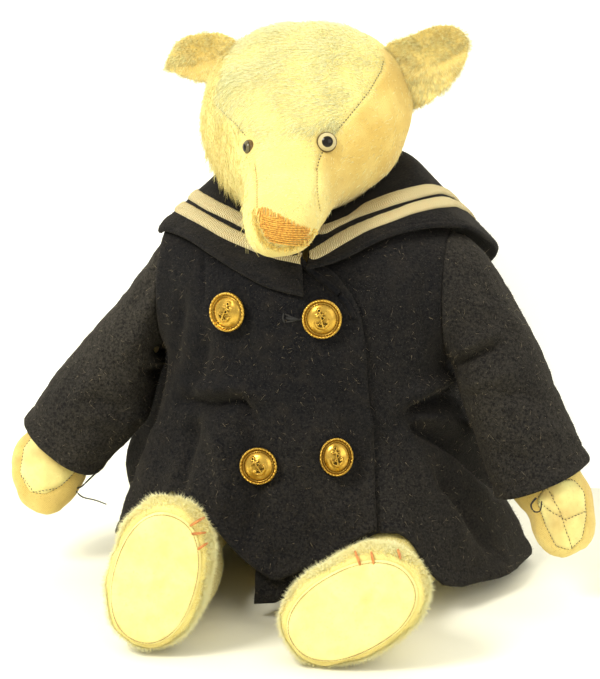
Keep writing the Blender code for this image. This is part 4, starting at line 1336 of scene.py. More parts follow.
def buildArm(label, side):
    inside = []
    for topOut, topUp, lowOut, lowUp, forward, depth in sleeves[label][2:]:
        half = math.hypot(topOut - lowOut, topUp - lowUp) / 2 - sleeveWall - armInSleeve
        lean = math.degrees(math.atan2(topOut - lowOut, topUp - lowUp))
        depth = min(depth - sleeveWall - armInSleeve, 17.0)
        inside.append(((topOut + lowOut) / 2, forward, (topUp + lowUp) / 2, half, depth, lean))
    rings = []
    for t in np.linspace(0, 1, 110):
        out, forward, up, half, depth, lean = alongRows(
            shoulderSections + inside + pawSections[label], t
        )
        out = max(out, 38.4)
        a = math.radians(lean)
        inPlane = (side * math.sin(a), 0, math.cos(a))
        ring = ovalRing((side * out, forward, up), inPlane, (0, 1, 0), half, depth, 2.1, 90)
        rings.append(ring)
    rings = np.array(rings) * mm
    flat = rings.reshape(-1, 3)
    outward = outwardOf(rings)
    shown = smoothStep(60, 48, flat[:, 2] / mm)
    push = fractal(flat, 12 * mm, 31 + side, 3) * 0.9 * shown
    pixels = toPixels(flat)
    facing = smoothStep(0.0, 0.3, outward @ camBack)
    marks = pawMarks[label]
    for line in [marks["pad"] + marks["pad"][:1]] + marks["seams"]:
        away, along, sideOf = nearLine(pixels, line)
        push -= 0.6 * np.exp(-((away / 2.0) ** 2)) * facing * shown
    flat = flat + outward * (push * mm)[:, None]
    item = makeMesh("arm_" + label + "_cloth", *solidOf(flat.reshape(rings.shape)), linen)
    points = pointsOf(item)
    pixels = toPixels(points)
    grimeAndShade = 0.10 + 0.25 * np.clip(fractal(points, 9 * mm, 6, 3), 0, 1)
    for place in marks["rust"]:
        grimeAndShade += 0.5 * np.exp(-((np.linalg.norm(pixels - np.array(place), axis=1) / 4.0) ** 2))
    setFloats(item, "tone", np.full(len(points), 0.8))
    setFloats(item, "grimeAndShade", np.clip(grimeAndShade, 0, 1))
    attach(item, "arm_" + label)
    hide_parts("arm_" + label)
    return item, flat.reshape(rings.shape)


arms = {}
for label, side in (("left", 1), ("right", -1)):
    arms[label], _ = buildArm(label, side)


def paddedPatch(name, tree, outline, thickness, material, body, node):
    # a felt patch sewn over a stuffed piece: a closed sheet that follows it
    outline = np.asarray(outline, float)
    middle = outline.mean(0)
    edge = evenLoop(outline, 96, 3)
    upper, under = [], []
    for u in np.linspace(0.03, 1, 26):
        ring = middle + (edge - middle) * u
        rowUp, rowLow = [], []
        for px, py in ring:
            hit, normal, index, far = tree.ray_cast(Vector(camPlace), pixelRay(px, py))
            if hit is None:
                hit, normal, index, far = tree.find_nearest(
                    Vector(camPlace) + pixelRay(px, py) * 1.16
                )
            rise = thickness * (0.25 + 0.75 * math.sqrt(max(0.0, 1 - u**6)))
            rowUp.append(np.array(hit + normal * (rise + 0.05 * mm)))
            rowLow.append(np.array(hit - normal * 0.3 * mm))
        upper.append(rowUp)
        under.append(rowLow)
    rings = np.array(upper + under[::-1])
    item = makeMesh(name, *solidOf(rings), material)
    points = pointsOf(item)
    setFloats(
        item, "grimeAndShade",
        np.clip(
            fractal(points, 10 * mm, 41, 3) * 0.5 + (0.34 if node.endswith("left") else 0.26), 0, 1
        )
    )
    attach(item, body)
    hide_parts(node)
    return item, edge


for label, side in (("left", 1), ("right", -1)):
    tree = treeOf(arms[label])
    marks = pawMarks[label]
    patch, edge = paddedPatch(
        "paw_pad_" + label + "_felt", tree, marks["pad"], 1.0 * mm, felt, "arm_" + label,
        "paw_pad_" + label
    )
    patchTree = treeOf(patch)
    paths = [
        onSurface(patchTree, denser(line, 2), 0.1 * mm) for line in marks["seams"]
        + [marks["pad"] + marks["pad"][:1]]
    ]
    sew(
        "paw_stitches_" + label, paths, darkThread, "arm_" + label,
        stitches(1.5, 1.1, 0.36, 0.5, 0.6, 5)
    )
print("arms built")


# Legs and feet
legs = {
    "sections": [
        (25.6, 49.0, 30.0, 1.0, 1.0), (25.0, 49.0, 30.0, 8.0, 9.0), (21.0, 49.5, 30.0, 14.0, 17.0),
        (11.0, 50.0, 30.0, 17.0, 25.0), (-4.0, 50.5, 29.8, 18.2, 28.3),
        (-20.0, 51.0, 28.0, 18.2, 26.4), (-36.0, 50.6, 25.0, 16.3, 23.5),
        (-52.0, 46.8, 21.8, 16.6, 20.5), (-70.0, 42.5, 18.8, 16.3, 17.2),
        (-92.0, 41.0, 18.5, 16.0, 16.8)
    ],
    "foot": [
        (-106.0, 0.35, 16.8, 19.4), (-117.0, 0.75, 18.9, 27.0), (-127.0, 1.0, 20.2, 32.2),
        (-133.0, 1.0, 20.0, 32.0), (-136.3, 1.0, 18.2, 29.9)
    ], "left": {"centre": (42.4, 26.6), "roll": 57.0},
    "right": {"centre": (-38.4, 35.0), "roll": 16.0}, "rows": 140, "columns": 100,
    "padHalfWidth": 17.6, "padHalfLength": 29.0
}


def buildLeg(label, side):
    foot = legs[label]
    roll = math.radians(foot["roll"])
    upward = np.array([math.sin(roll), 0, math.cos(roll)])
    last = legs["sections"][-1]
    start = np.array([side * last[1], 0, last[2]])
    goal = np.array([foot["centre"][0], 0, foot["centre"][1]])
    stations = []
    for forward, out, up, half, tall in legs["sections"]:
        stations.append((side * out, forward, up, half, tall, 0.0))
    for forward, share, half, tall in legs["foot"]:
        centre = start + (goal - start) * share
        stations.append((centre[0], forward, centre[2], half, tall, foot["roll"] * share))
    stations.append((goal[0], -136.5, goal[2], 14.0, 24.0, foot["roll"]))
    stations.append((goal[0], -136.6, goal[2], 1.0, 1.5, foot["roll"]))
    rings = []
    for t in np.linspace(0, 1, legs["rows"]):
        x, y, z, half, tall, turn = alongRows(stations, t)
        a = math.radians(turn)
        across = (math.cos(a), 0, -math.sin(a))
        upright = (math.sin(a), 0, math.cos(a))
        ring = ovalRing((x, y, z), across, upright, half, tall, 2.2, legs["columns"])
        rings.append(ring)
    rings = np.array(rings)
    flat = rings.reshape(-1, 3)
    inner = (flat[:, 1] > -36) & (side * flat[:, 0] < 34.4)
    flat[:, 0] = np.where(inner, side * 34.4, flat[:, 0])
    rings = flat.reshape(rings.shape) * mm
    flat = rings.reshape(-1, 3)
    outward = outwardOf(rings)
    push = fractal(flat, 13 * mm, 51 + side, 3) * 0.8 * smoothStep(-30, -45, flat[:, 1] / mm)
    flat = flat + outward * (push * mm)[:, None]
    flat[:, 2] = np.maximum(flat[:, 2], 0.15 * mm)
    item = makeMesh("leg_" + label + "_cloth", *solidOf(flat.reshape(rings.shape)), linen)
    points = pointsOf(item)
    setFloats(item, "tone", np.full(len(points), 0.05))
    setFloats(item, "grimeAndShade", np.clip(0.02 + 0.25 * fractal(points, 12 * mm, 6, 3), 0, 1))
    body = "leg_" + label
    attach(item, body)
    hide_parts(body)

    across = np.array([math.cos(roll), 0, -math.sin(roll)])
    centre = np.array([goal[0], -136.9, goal[2]])
    rows = []
    for u, depth in [(s, 1.5) for s in np.linspace(0.03, 0.93, 26)] + [
        (0.965, 1.25), (0.99, 0.8), (1.0, 0.2), (0.985, -0.3)
    ]:
        ring = ovalRing(
            centre, across, upward, legs["padHalfWidth"] * u, legs["padHalfLength"] * u, 2.2, 140
        )
        ring[:, 1] -= depth
        rows.append(ring)
    rings = np.array(rows)
    flat = rings.reshape(-1, 3) * mm
    wobble = fractal(flat, 11 * mm, 61 + side, 3) * 0.5
    inside = np.repeat([r[1] for r in [(0, 1)] * 26 + [(0, 0.6), (0, 0.3), (0, 0), (0, 0)]], 140)
    flat[:, 1] -= wobble * inside * mm
    pad = makeMesh("foot_pad_" + label + "_felt", *solidOf(flat.reshape(rings.shape)), felt)
    points = pointsOf(pad)
    setFloats(pad, "grimeAndShade", np.clip(fractal(points, 9 * mm, 71 + side, 3) * 0.5 - 0.08, 0, 1))
    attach(pad, body)
    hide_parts("foot_pad_" + label)
    edgeRing = ovalRing(
        centre, across, upward, legs["padHalfWidth"] * 0.955, legs["padHalfLength"] * 0.97, 2.2, 140
    )
    edgeRing[:, 1] -= 1.45
    loop = [tuple(p * mm) for p in edgeRing]
    sew(
        "pad_stitches_" + label, [loop + loop[:1]], brownThread, body,
        stitches(1.25, 1.3, 0.36, 0.22, 0.25, 8)
    )

    seed = skinCopy("footSeed", item)
    points = pointsOf(item)
    normals = vertexNormals(item)
    y = points[:, 1] / mm
    rim = smoothStep(-112, -124, y) * smoothStep(-136.3, -134.5, y)
    fur = smoothStep(-40, -60, y) * 0.40
    patchy = fractal(points, 9 * mm, 81 + side, 2)
    setFloats(
        seed, "pileDensity",
        np.clip((fur + rim) * (0.9 + 0.6 * patchy) * smoothStep(-136.6, -135.8, y), 0, 1.6)
    )
    setFloats(seed, "pileLength", np.clip(0.45 + 0.75 * rim + 0.4 * patchy, 0.3, 1.4))
    flow = np.tile(np.array([0.0, -0.55, -0.15]), (len(points), 1)) + normals * 0.2
    setVectors(seed, "pileFlow", flow)
    growPile(
        "foot_pile_" + label, seed, footPile, body,
        pileValues(
            {
                "perMm": 3.0, "length": 2.5, "thickness": 0.22, "stand": 0.55, "stray": 0.7,
                "curl": 0.3
            }, 31 + side
        )
    )
    dropObject(seed)
    return item, pad


claws = {
    "right": [[(190, 525), (202, 519)], [(190, 533), (203, 533)], [(192, 554), (205, 543)]],
    "left": [[(356, 554), (361, 564)], [(372, 554), (374, 563)], [(397, 552), (400, 560)]]
}
for label, side in (("left", 1), ("right", -1)):
    leg, pad = buildLeg(label, side)
    tree = treeOf(leg)
    lines = []
    for line in claws[label]:
        found = onSurface(tree, denser(line, 2), 1.3 * mm)
        if len(found) > 1:
            lines.append(found)
    if lines:
        item = strandMesh("claw_stitches_" + label, lines, 1.25 * mm, rustThread)
        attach(item, "leg_" + label)
print("legs built")


# Body under the coat
torsoRows = [
    (0.2, 1.0, 4.0, 1.0), (0.2, 25.0, 4.0, 24.0), (2.5, 31.0, 4.0, 31.0), (9.0, 36.0, 4.0, 36.5),
    (24.0, 39.5, 4.0, 41.0), (46.0, 41.5, 3.0, 43.0), (70.0, 42.5, 1.0, 44.0),
    (95.0, 41.5, -1.0, 42.0), (118.0, 40.5, -2.0, 37.0), (135.0, 40.0, 0.0, 32.0),
    (147.0, 36.5, 4.0, 29.0), (155.0, 29.0, 7.0, 25.5)
]


def buildTorso():
    rings = []
    for t in np.linspace(0, 1, 60):
        height, half, back, depth = alongRows(torsoRows, t)
        ring = ovalRing((0, back, max(height, 0.2)), (1, 0, 0), (0, 1, 0), half, depth, 2.4, 80)
        rings.append(ring)
    rings = np.array(rings)
    flat = rings.reshape(-1, 3)
    high = flat[:, 2] > 100
    flat[:, 0] = np.where(high, np.clip(flat[:, 0], -37.8, 37.8), flat[:, 0])
    low = flat[:, 2] < 62
    flat[:, 0] = np.where(low, np.clip(flat[:, 0], -33.8, 33.8), flat[:, 0])
    rings = list(flat.reshape(rings.shape))
    flatForward = np.array([0, 1.0, 0]) - headUp * headUp[1]
    flatForward /= np.linalg.norm(flatForward)
    flatAside = np.cross(flatForward, headUp)
    for drop, half in (
        (8.0, 23.0), (6.0, 22.6), (4.0, 22.3), (2.0, 22.0), (0.8, 21.0), (0.3, 19.0), (0.3, 4.0)
    ):
        centre = inHead(0, 0, head["neckPlane"] - drop)
        turn = np.linspace(0, 2 * np.pi, 80, endpoint=False)
        ring = centre + flatAside * (
            np.cos(turn) * half
        )[:, None] + flatForward * (np.sin(turn) * half)[:, None]
        if np.dot(ring[0] - centre, [1, 0, 0]) < 0:
            ring = centre - flatAside * (
                np.cos(turn) * half
            )[:, None] + flatForward * (np.sin(turn) * half)[:, None]
        rings.append(ring)
    rings = np.array(rings) * mm
    item = makeMesh("torso_cloth", *solidOf(rings), linen)
    points = pointsOf(item)
    setFloats(item, "tone", np.full(len(points), 0.8))
    setFloats(item, "grimeAndShade", np.clip(0.2 + 0.3 * fractal(points, 15 * mm, 6, 2), 0, 1))
    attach(item, "body")
    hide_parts("torso")


buildTorso()


# Coat: one sheet of wool that laps over itself in front
coat = {
    "wall": 2.2, "rows": 128, "columns": 250, "armhole": 24.5, "overlap": 3.0, "underlap": -95.0,
    "neckDrop": 34.0, "napeDrop": 7.0, "chestBow": 4.0,
    "rearBulge": [0.0, 0.0, 0.0, 5.0, 11.0, 15.5, 16.0, -1.0],
    "levels": [
        (40.0, 40.0, -47.0, 42.0, 150.0, 168.0, 174.0, 2.2),
        (50.0, 51.0, -52.5, 47.0, 143.0, 156.5, 163.0, 2.6),
        (60.5, 61.5, -55.5, 50.0, 132.0, 150.0, 147.0, 3.4),
        (62.2, 62.6, -57.0, 52.0, 117.0, 122.0, 120.0, 3.8),
        (61.0, 62.3, -60.0, 53.0, 92.0, 96.0, 92.0, 3.4),
        (68.0, 69.0, -65.0, 57.5, 64.0, 66.0, 62.0, 2.8),
        (79.0, 82.0, -73.0, 64.0, 38.0, 36.0, 32.0, 2.4),
        (87.0, 97.0, -80.0, 71.0, 18.0, 9.0, 1.2, 2.2)
    ], "edgeOut": [3.5, 19.0, 29.0, 33.0, 35.0, 39.0, 41.0, 43.0],
    "hem": [
        (-97, 6.0), (-90, 8.0), (-75, 30.0), (-66, 38.0), (-60, 38.0), (-57, 34.0), (-54.5, 28.0),
        (-52, 20.0), (-48, 14.0), (-40, 11.0), (-20, 8.0), (0, 6.0), (30, 3.0), (90, 1.2),
        (150, 3.0), (188, 8.0), (215, 26.0), (236, 50.0), (248, 47.0), (262, 26.0), (270, 17.0),
        (283, 30.0), (300, 45.0), (320, 40.0)
    ]
}

# Folds of the wool: a line in pixels, half width in pixels, depth in millimetres
folds = [
    ([(452, 392), (430, 404), (404, 416), (386, 440), (392, 476)], 6, -8.0),
    ([(455, 376), (425, 388), (398, 400), (376, 424)], 9, 5.0),
    ([(402, 420), (430, 432), (466, 452), (500, 488)], 7, -7.5),
    ([(416, 412), (448, 422), (484, 446)], 8, 4.6), ([(452, 398), (480, 434), (510, 474)], 11, 3.2),
    ([(398, 440), (425, 475), (450, 520), (462, 560)], 11, 4.4),
    ([(384, 446), (392, 486), (396, 536)], 8, -3.8),
    ([(430, 470), (468, 512), (496, 556)], 9, -4.4), ([(470, 480), (500, 510), (520, 540)], 9, 2.6),
    ([(180, 402), (210, 406), (240, 402), (256, 425)], 5, -6.4),
    ([(185, 386), (212, 388), (240, 386), (262, 398)], 7, 3.6),
    ([(240, 410), (250, 450), (254, 500), (250, 545)], 7, -4.6),
    ([(215, 425), (222, 470), (224, 520)], 10, 3.8),
    ([(196, 415), (184, 460), (172, 505)], 7, -4.6),
    ([(160, 420), (150, 460), (145, 500)], 10, 2.4),
    ([(268, 480), (278, 520), (286, 560)], 10, 2.8),
    ([(300, 470), (314, 520), (320, 560)], 9, -2.8), ([(334, 500), (340, 530), (344, 556)], 9, 2.2),
    ([(205, 330), (200, 370), (188, 400)], 7, -3.0),
    ([(180, 300), (176, 340), (172, 372)], 6, -3.0),
    ([(375, 300), (400, 330), (410, 370)], 12, 2.4),
    ([(432, 262), (436, 310), (444, 365)], 8, -3.2),
    ([(452, 262), (455, 310), (452, 360)], 5, -2.6),
    ([(345, 380), (350, 430), (352, 480)], 9, -1.8),
    ([(270, 330), (290, 360), (300, 400)], 12, 1.8), ([(385, 330), (392, 360), (386, 392)], 8, -2.2)
]
coatSeams = [
    ([(204, 250), (203, 275), (202, 305)], 1.6, -1.3),
    ([(232, 262), (240, 300), (246, 345)], 1.4, -0.4), ([(418, 268), (420, 300)], 1.4, -0.4)
]


def coatBase(theta, t):
    # points of the wool's outer face, in millimetres
    level = alongRows(coat["levels"], t)
    right, left, front, back, zFront, zSide, zBack, square = [level[..., k] for k in range(8)]
    a = np.radians(theta)
    c, s = np.cos(a), np.sin(a)
    half = np.where(c > 0, left, right)
    depth = np.where(s < 0, -front, back)
    x = np.sign(c) * np.abs(c) ** (2 / square) * half
    y = np.sign(s) * np.abs(s) ** (2 / square) * depth
    share = s**2
    z = zSide + (np.where(s < 0, zFront, zBack) - zSide) * share
    hem = np.interp(theta, [p[0] for p in coat["hem"]], [p[1] for p in coat["hem"]])
    last = coat["levels"][-1]
    natural = last[5] + (np.where(s < 0, last[4], last[6]) - last[5]) * share
    z = z + (hem - natural) * smoothStep(0.6, 1.0, t)
    neckEdge = underHead(x, y, coat["neckDrop"] + coat["napeDrop"] * np.maximum(s, 0) ** 2)
    z = neckEdge + (z - neckEdge) * smoothStep(0.0, 0.22, t)
    skirt = smoothStep(0.45, 1.0, t)
    bow = smoothStep(0.08, 0.3, t) * smoothStep(0.9, 0.6, t) * smoothStep(0.2, 0.8, -s)
    y = y - coat["chestBow"] * bow * np.cos(0.9 * math.pi * np.abs(x) / half)
    behind = smoothStep(0.10, 0.30, s) * smoothStep(1.0, 0.45, s) * (c < 0)
    x = x - alongRows([[v] for v in coat["rearBulge"]], t)[..., 0] * behind
    wave = 2.2 * skirt * np.sin(a * 7 + 0.8) + 1.4 * skirt * np.sin(a * 11 + 2.1 + 3 * t)
    size = np.maximum(np.hypot(x, y), 1e-6)
    return np.stack([x + x / size * wave, y + y / size * wave, z], -1)


def shapeWool(points, normals, lines, seed, rough=0.45):
    # how far the wool stands out at each point, in millimetres
    pixels = toPixels(points)
    facing = smoothStep(-0.1, 0.25, normals @ camBack)
    lift = fractal(points, 26 * mm, seed, 3) * 1.5 * 0.6 + fractal(
        points, 6 * mm, seed + 1, 2
    ) * rough
    for line, wide, deep in lines:
        away, along, side = nearLine(pixels, line)
        ends = smoothStep(0, 0.2, along) * smoothStep(1.0, 0.8, along)
        lift += deep * np.exp(-((away / wide) ** 2)) * facing * (0.35 + 0.65 * ends)
    return lift


def closedSheet(name, outer, inner, keep, material):
    # two grids of points joined round every open edge; keep marks the cells that stay
    rows, columns = outer.shape[:2]
    half = rows * columns
    points = np.concatenate([outer.reshape(-1, 3), inner.reshape(-1, 3)])
    r, c = np.nonzero(keep)
    a = r * columns + c
    quads = np.stack([a, a + 1, a + columns + 1, a + columns], -1)
    faces = list(map(tuple, quads)) + list(map(tuple, (quads + half)[:, ::-1]))
    edges = {}
    for quad in quads.tolist():
        for i in range(4):
            one, two = quad[i], quad[(i + 1) % 4]
            key = (min(one, two), max(one, two))
            if key in edges:
                edges[key] = None
            else:
                edges[key] = (one, two)
    for pair in edges.values():
        if pair:
            one, two = pair
            faces.append((two, one, one + half, two + half))
    used = np.zeros(len(points), bool)
    used[np.array([i for f in faces for i in f])] = True
    order = np.cumsum(used) - 1
    faces = [tuple(int(order[i]) for i in f) for f in faces]
    return makeMesh(name, points[used], faces, material)


def edgeTaper(rows, columns, sides="tblr", cells=2):
    # wall share near the open edges, so that they look rolled
    taper = np.ones((rows, columns))
    values = [0.45, 0.86][:cells]
    for k, value in enumerate(values):
        if "t" in sides:
            taper[k, :] = np.minimum(taper[k, :], value)
        if "b" in sides:
            taper[-1 - k, :] = np.minimum(taper[-1 - k, :], value)
        if "l" in sides:
            taper[:, k] = np.minimum(taper[:, k], value)
        if "r" in sides:
            taper[:, -1 - k] = np.minimum(taper[:, -1 - k], value)
    return taper


def gridNormals(grid, wrap=False):
    n = normalsOf(grid, wrap)
    middle = grid.reshape(-1, 3).mean(0)
    out = grid - middle
    out[..., 2] = 0
    if np.sum(n * out) < 0:
        n = -n
    return n


def buildCoat():
    rows, columns = coat["rows"], coat["columns"]
    theta = np.empty((rows, columns))
    tt = np.linspace(0, 1, rows)[:, None].repeat(columns, 1)
    for r in range(rows):
        t = tt[r, 0]
        level = alongRows(coat["levels"], t)
        edge = float(alongRows([[e] for e in coat["edgeOut"]], t)[0])
        share = min(0.99, edge / level[1])
        end = 270 + math.degrees(math.asin(share ** (level[7] / 2)))
        theta[r] = np.linspace(coat["underlap"], end, columns)
    points = coatBase(theta, tt)
    normals = gridNormals(points)
    lift = coat["overlap"] * smoothStep(232, 262, theta)
    grid = points + normals * lift[..., None]
    flat = grid.reshape(-1, 3) * mm
    normals = gridNormals(grid)
    flatNormals = normals.reshape(-1, 3)
    extra = shapeWool(flat, flatNormals, folds + coatSeams, 91).reshape(rows, columns)
    under = smoothStep(-38, -52, theta) * smoothStep(-97, -95, theta)
    extra = extra * (1 - 0.9 * under)
    extra *= smoothStep(0.06, 0.24, tt)
    hole = np.hypot(grid[..., 1] - shoulder["forward"], grid[..., 2] - shoulder["up"])
    near = smoothStep(36, 27, hole) * (np.abs(grid[..., 0]) > 44)
    extra *= 1 - near
    edgeLine = theta[:, -1:] - theta
    extra -= 0.5 * np.exp(-(((edgeLine - 3.2) / 0.45) ** 2)) * smoothStep(0.1, 0.2, tt)
    extra -= 0.5 * np.exp(-(((tt - 0.955) / 0.006) ** 2))
    hemRoll = smoothStep(0.93, 0.98, tt) * 0.5
    extra += hemRoll
    grid = grid + normals * extra[..., None]
    want = np.sign(grid[..., 0]) * 62.6
    pull = smoothStep(33, 26, hole) * (np.abs(grid[..., 0]) > 44)
    grid[..., 0] = grid[..., 0] * (1 - pull) + want * pull
    normals = gridNormals(grid)
    wall = coat["wall"] * edgeTaper(rows, columns)
    bulge = (coat["wall"] - wall) / 2
    outer = grid - normals * bulge[..., None]
    inner = outer - normals * wall[..., None]
    outer[..., 2] = np.maximum(outer[..., 2], 0.25)
    inner[..., 2] = np.maximum(inner[..., 2], 0.25)
    centre = (grid[:-1, :-1] + grid[1:, 1:]) / 2
    far = np.hypot(centre[..., 1] - shoulder["forward"], centre[..., 2] - shoulder["up"])
    keep = ~((far < coat["armhole"]) & (np.abs(centre[..., 0]) > 44))
    item = closedSheet("coat_wool", outer * mm, inner * mm, keep, wool)
    high = pointsOf(item)[:, 2] / mm
    # more lighter grey nap low down and towards +x: the shared wear and painted sheen share
    setFloats(
        item, "wearAndSheen",
        0.12 + 0.22 * smoothStep(100, 60, high) + 0.12 * smoothStep(
            0, 60, pointsOf(item)[:, 0] / mm
        )
    )
    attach(item, "body")
    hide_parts("coat_body")
    return item


coatItem = buildCoat()
coatTree = treeOf(coatItem)
print("coat built")


# Sleeves
sleeveFolds = {
    "left": [
        ([(452, 368), (475, 356), (500, 345)], 5, -4.6),
        ([(455, 352), (480, 340), (505, 328)], 7, 2.6),
        ([(462, 388), (490, 378), (520, 370)], 8, 2.4),
        ([(500, 400), (520, 395), (545, 400)], 8, -2.4),
        ([(470, 262), (490, 300), (505, 330)], 9, -1.8),
        ([(478, 300), (500, 310), (522, 330)], 7, 1.6),
        ([(515, 440), (535, 430), (560, 432)], 9, 1.8),
        ([(490, 450), (515, 460), (545, 462)], 8, -1.6)
    ],
    "right": [
        ([(196, 339), (178, 350), (156, 352)], 5, -4.2),
        ([(190, 365), (170, 375), (146, 372)], 6, -3.0),
        ([(190, 352), (168, 362), (144, 362)], 6, 2.2),
        ([(150, 300), (140, 330), (120, 355)], 9, 1.8),
        ([(160, 262), (148, 285), (130, 310)], 7, -1.8),
        ([(128, 415), (110, 405), (90, 400)], 8, -2.2),
        ([(100, 372), (85, 390), (70, 402)], 9, 1.8),
        ([(165, 395), (150, 410), (132, 420)], 8, 2.0),
        ([(120, 440), (98, 432), (72, 428)], 8, -1.6)
    ]
}


def buildSleeve(label, side):
    rows, columns = 112, 120
    rings = []
    for t in np.linspace(0, 1, rows):
        topOut, topUp, lowOut, lowUp, forward, depth = alongRows(sleeves[label], t)
        top = np.array([side * topOut, forward, topUp])
        low = np.array([side * lowOut, forward, lowUp])
        inPlane = (top - low) / np.linalg.norm(top - low)
        rings.append(
            ovalRing(
                (top + low) / 2, inPlane, (0, 1, 0), np.linalg.norm(top - low) / 2, depth, 2.1,
                columns
            )
        )
    grid = np.array(rings)
    normals = outwardOf(grid).reshape(grid.shape)
    t = np.linspace(0, 1, rows)[:, None].repeat(columns, 1)
    flat = grid.reshape(-1, 3) * mm
    extra = shapeWool(
        flat, normals.reshape(-1, 3), sleeveFolds[label], 101 + side
    ).reshape(rows, columns)
    extra *= smoothStep(0.06, 0.2, t)
    extra -= 0.9 * np.exp(-(((t - 0.115) / 0.012) ** 2))
    extra -= 0.5 * np.exp(-(((t - 0.93) / 0.008) ** 2))
    extra += 0.5 * smoothStep(0.93, 0.97, t)
    grid = grid + normals * extra[..., None]
    wall = sleeveWall * np.ones((rows, columns))
    for k, value in enumerate((0.45, 0.86)):
        wall[-1 - k] *= value
    bulge = (sleeveWall - wall) / 2
    outer = grid - normals * bulge[..., None]
    inner = outer - normals * wall[..., None]
    item = makeMesh("sleeve_" + label + "_wool", *tubeOf(outer * mm, inner * mm), wool)
    # lighter grey nap over the whole sleeve: partly wear, partly painted sheen of the light on the nap
    setFloats(item, "wearAndSheen", np.full(len(item.data.vertices), 0.75))
    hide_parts("sleeve_" + label)
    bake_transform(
        item, "body", "arm_" + label,
        start=(side * 60 * mm, shoulder["forward"] * mm, shoulder["up"] * mm),
        end=(side * 78 * mm, shoulder["forward"] * mm, (shoulder["up"] - 14) * mm)
    )
    return item


sleeveItems = {label: buildSleeve(label, side) for label, side in (("left", 1), ("right", -1))}
print("sleeves built")


# Collar: a square sailor collar with two rows of braid
# stations: angle round the neck from the front, then the outer edge's out, forward and up
# lines: the stripes' edges in the picture, from the V outward, lower then upper
collar = {
    "wall": 2.4, "columns": 430, "border": 7.6, "stripe": 5.6, "gap": 2.8, "lift": 0.9,
    "neck": (27.0, 34.6), "rim": (40.0, 31.2), "rimBack": 33.0, "cheekRise": 2.2,
    "stations": [
        (6, 8.5, -56.6, 146.6), (18, 17.5, -54.5, 149.0), (30, 26.0, -48.5, 152.0),
        (41, 35.0, -39.5, 156.0), (51, 44.0, -31.5, 158.5), (62, 53.0, -24.0, 159.5),
        (72, 62.0, -16.5, 159.0), (82, 70.5, -8.0, 156.5), (95, 75.5, 6.0, 150.0),
        (110, 76.5, 25.0, 144.0), (126, 76.0, 45.0, 136.0), (140, 69.0, 62.0, 126.0),
        (156, 45.0, 67.5, 120.0), (180, 0.0, 68.0, 117.0), (204, -42.0, 67.5, 120.0),
        (220, -62.0, 62.0, 126.0), (234, -68.5, 45.0, 136.0), (250, -69.5, 25.0, 144.0),
        (264, -69.0, 6.0, 149.0), (277, -66.0, -9.0, 150.5), (287, -61.0, -20.0, 152.5),
        (297, -54.0, -28.5, 153.5), (307, -46.0, -36.5, 152.5), (317, -37.5, -44.5, 150.0),
        (327, -28.5, -51.5, 147.0), (337, -18.5, -57.5, 143.5), (347, -8.5, -61.5, 140.0),
        (354, 0.5, -63.0, 138.0), (360, 8.5, -63.8, 137.0)
    ],
    "outerLines": [
        [
            (295, 263), (275, 258), (255, 251), (235, 243), (220, 236), (205, 227), (190, 219),
            (175, 211), (160, 203)
        ],
        [
            (295, 251), (275, 245), (255, 238), (235, 229), (220, 221), (205, 213), (190, 204),
            (175, 197), (160, 190)
        ],
        [
            (309, 262), (320, 257), (335, 248), (350, 239), (365, 231), (380, 225), (395, 220),
            (410, 214), (425, 210), (440, 207), (456, 206)
        ],
        [
            (309, 251), (320, 244), (335, 234), (350, 226), (365, 220), (380, 214), (395, 209),
            (410, 203), (425, 199), (440, 196), (456, 195)
        ]
    ],
    "innerLines": [
        [(255, 234), (235, 223), (220, 216), (205, 209), (190, 200), (175, 192)],
        [(255, 220), (235, 209), (220, 202), (205, 194), (190, 185), (175, 178)],
        [
            (320, 237), (335, 227), (350, 219), (365, 214), (380, 209), (395, 204), (410, 200),
            (425, 196), (440, 193), (450, 193)
        ],
        [
            (320, 227), (335, 217), (350, 209), (365, 202), (380, 196), (395, 191), (410, 187),
            (425, 184), (440, 183), (450, 184)
        ]
    ]
}


def coatMouth(angle):
    # how far the coat's neck edge stands from the neck axis at this angle
    axis = inHead(0, 0, head["neckPlane"])
    right, left, front, back = coat["levels"][0][:4]
    for reach in np.arange(20.0, 90.0, 0.5):
        x = reach * math.sin(angle) / (left if angle < math.pi else right)
        y = axis[1] + headForward[1] * math.cos(angle) * reach
        y /= front if y < 0 else back
        if x * x + y * y > 1:
            break
    return reach


def collarProfile(along):
    # from the outer edge over the coat's neck edge to the neck, in millimetres
    angle, out, forward, up = alongRows(collar["stations"], along)
    a = math.radians(angle)
    back = max(-math.cos(a), 0.0)
    nape = coat["napeDrop"] * back**2
    radius = collar["rim"][0] + (collar["rimBack"] - collar["rim"][0]) * back
    edge = np.array([out, forward, up])
    rim = inHead(math.sin(a) * radius, math.cos(a) * radius, -collar["rim"][1] - nape)
    inside = collar["neck"][0]
    neck = inHead(math.sin(a) * inside, math.cos(a) * inside, -collar["neck"][1] - nape)
    wide = np.linalg.norm(edge - inHead(0, 0, head["neckPlane"]))
    share = min(max((wide - coatMouth(a)) / (wide - radius), 0.1), 0.9)
    crest = edge + (rim - edge) * share
    drop = (np.array(head["centre"]) - crest) @ headUp
    crest = crest + headUp * (
        max(0.0, drop - collar["rim"][1] - nape) + collar["cheekRise"] * abs(math.sin(a)) ** 3
    )
    return np.array([edge, crest, rim, neck])


collarReach = 33.0


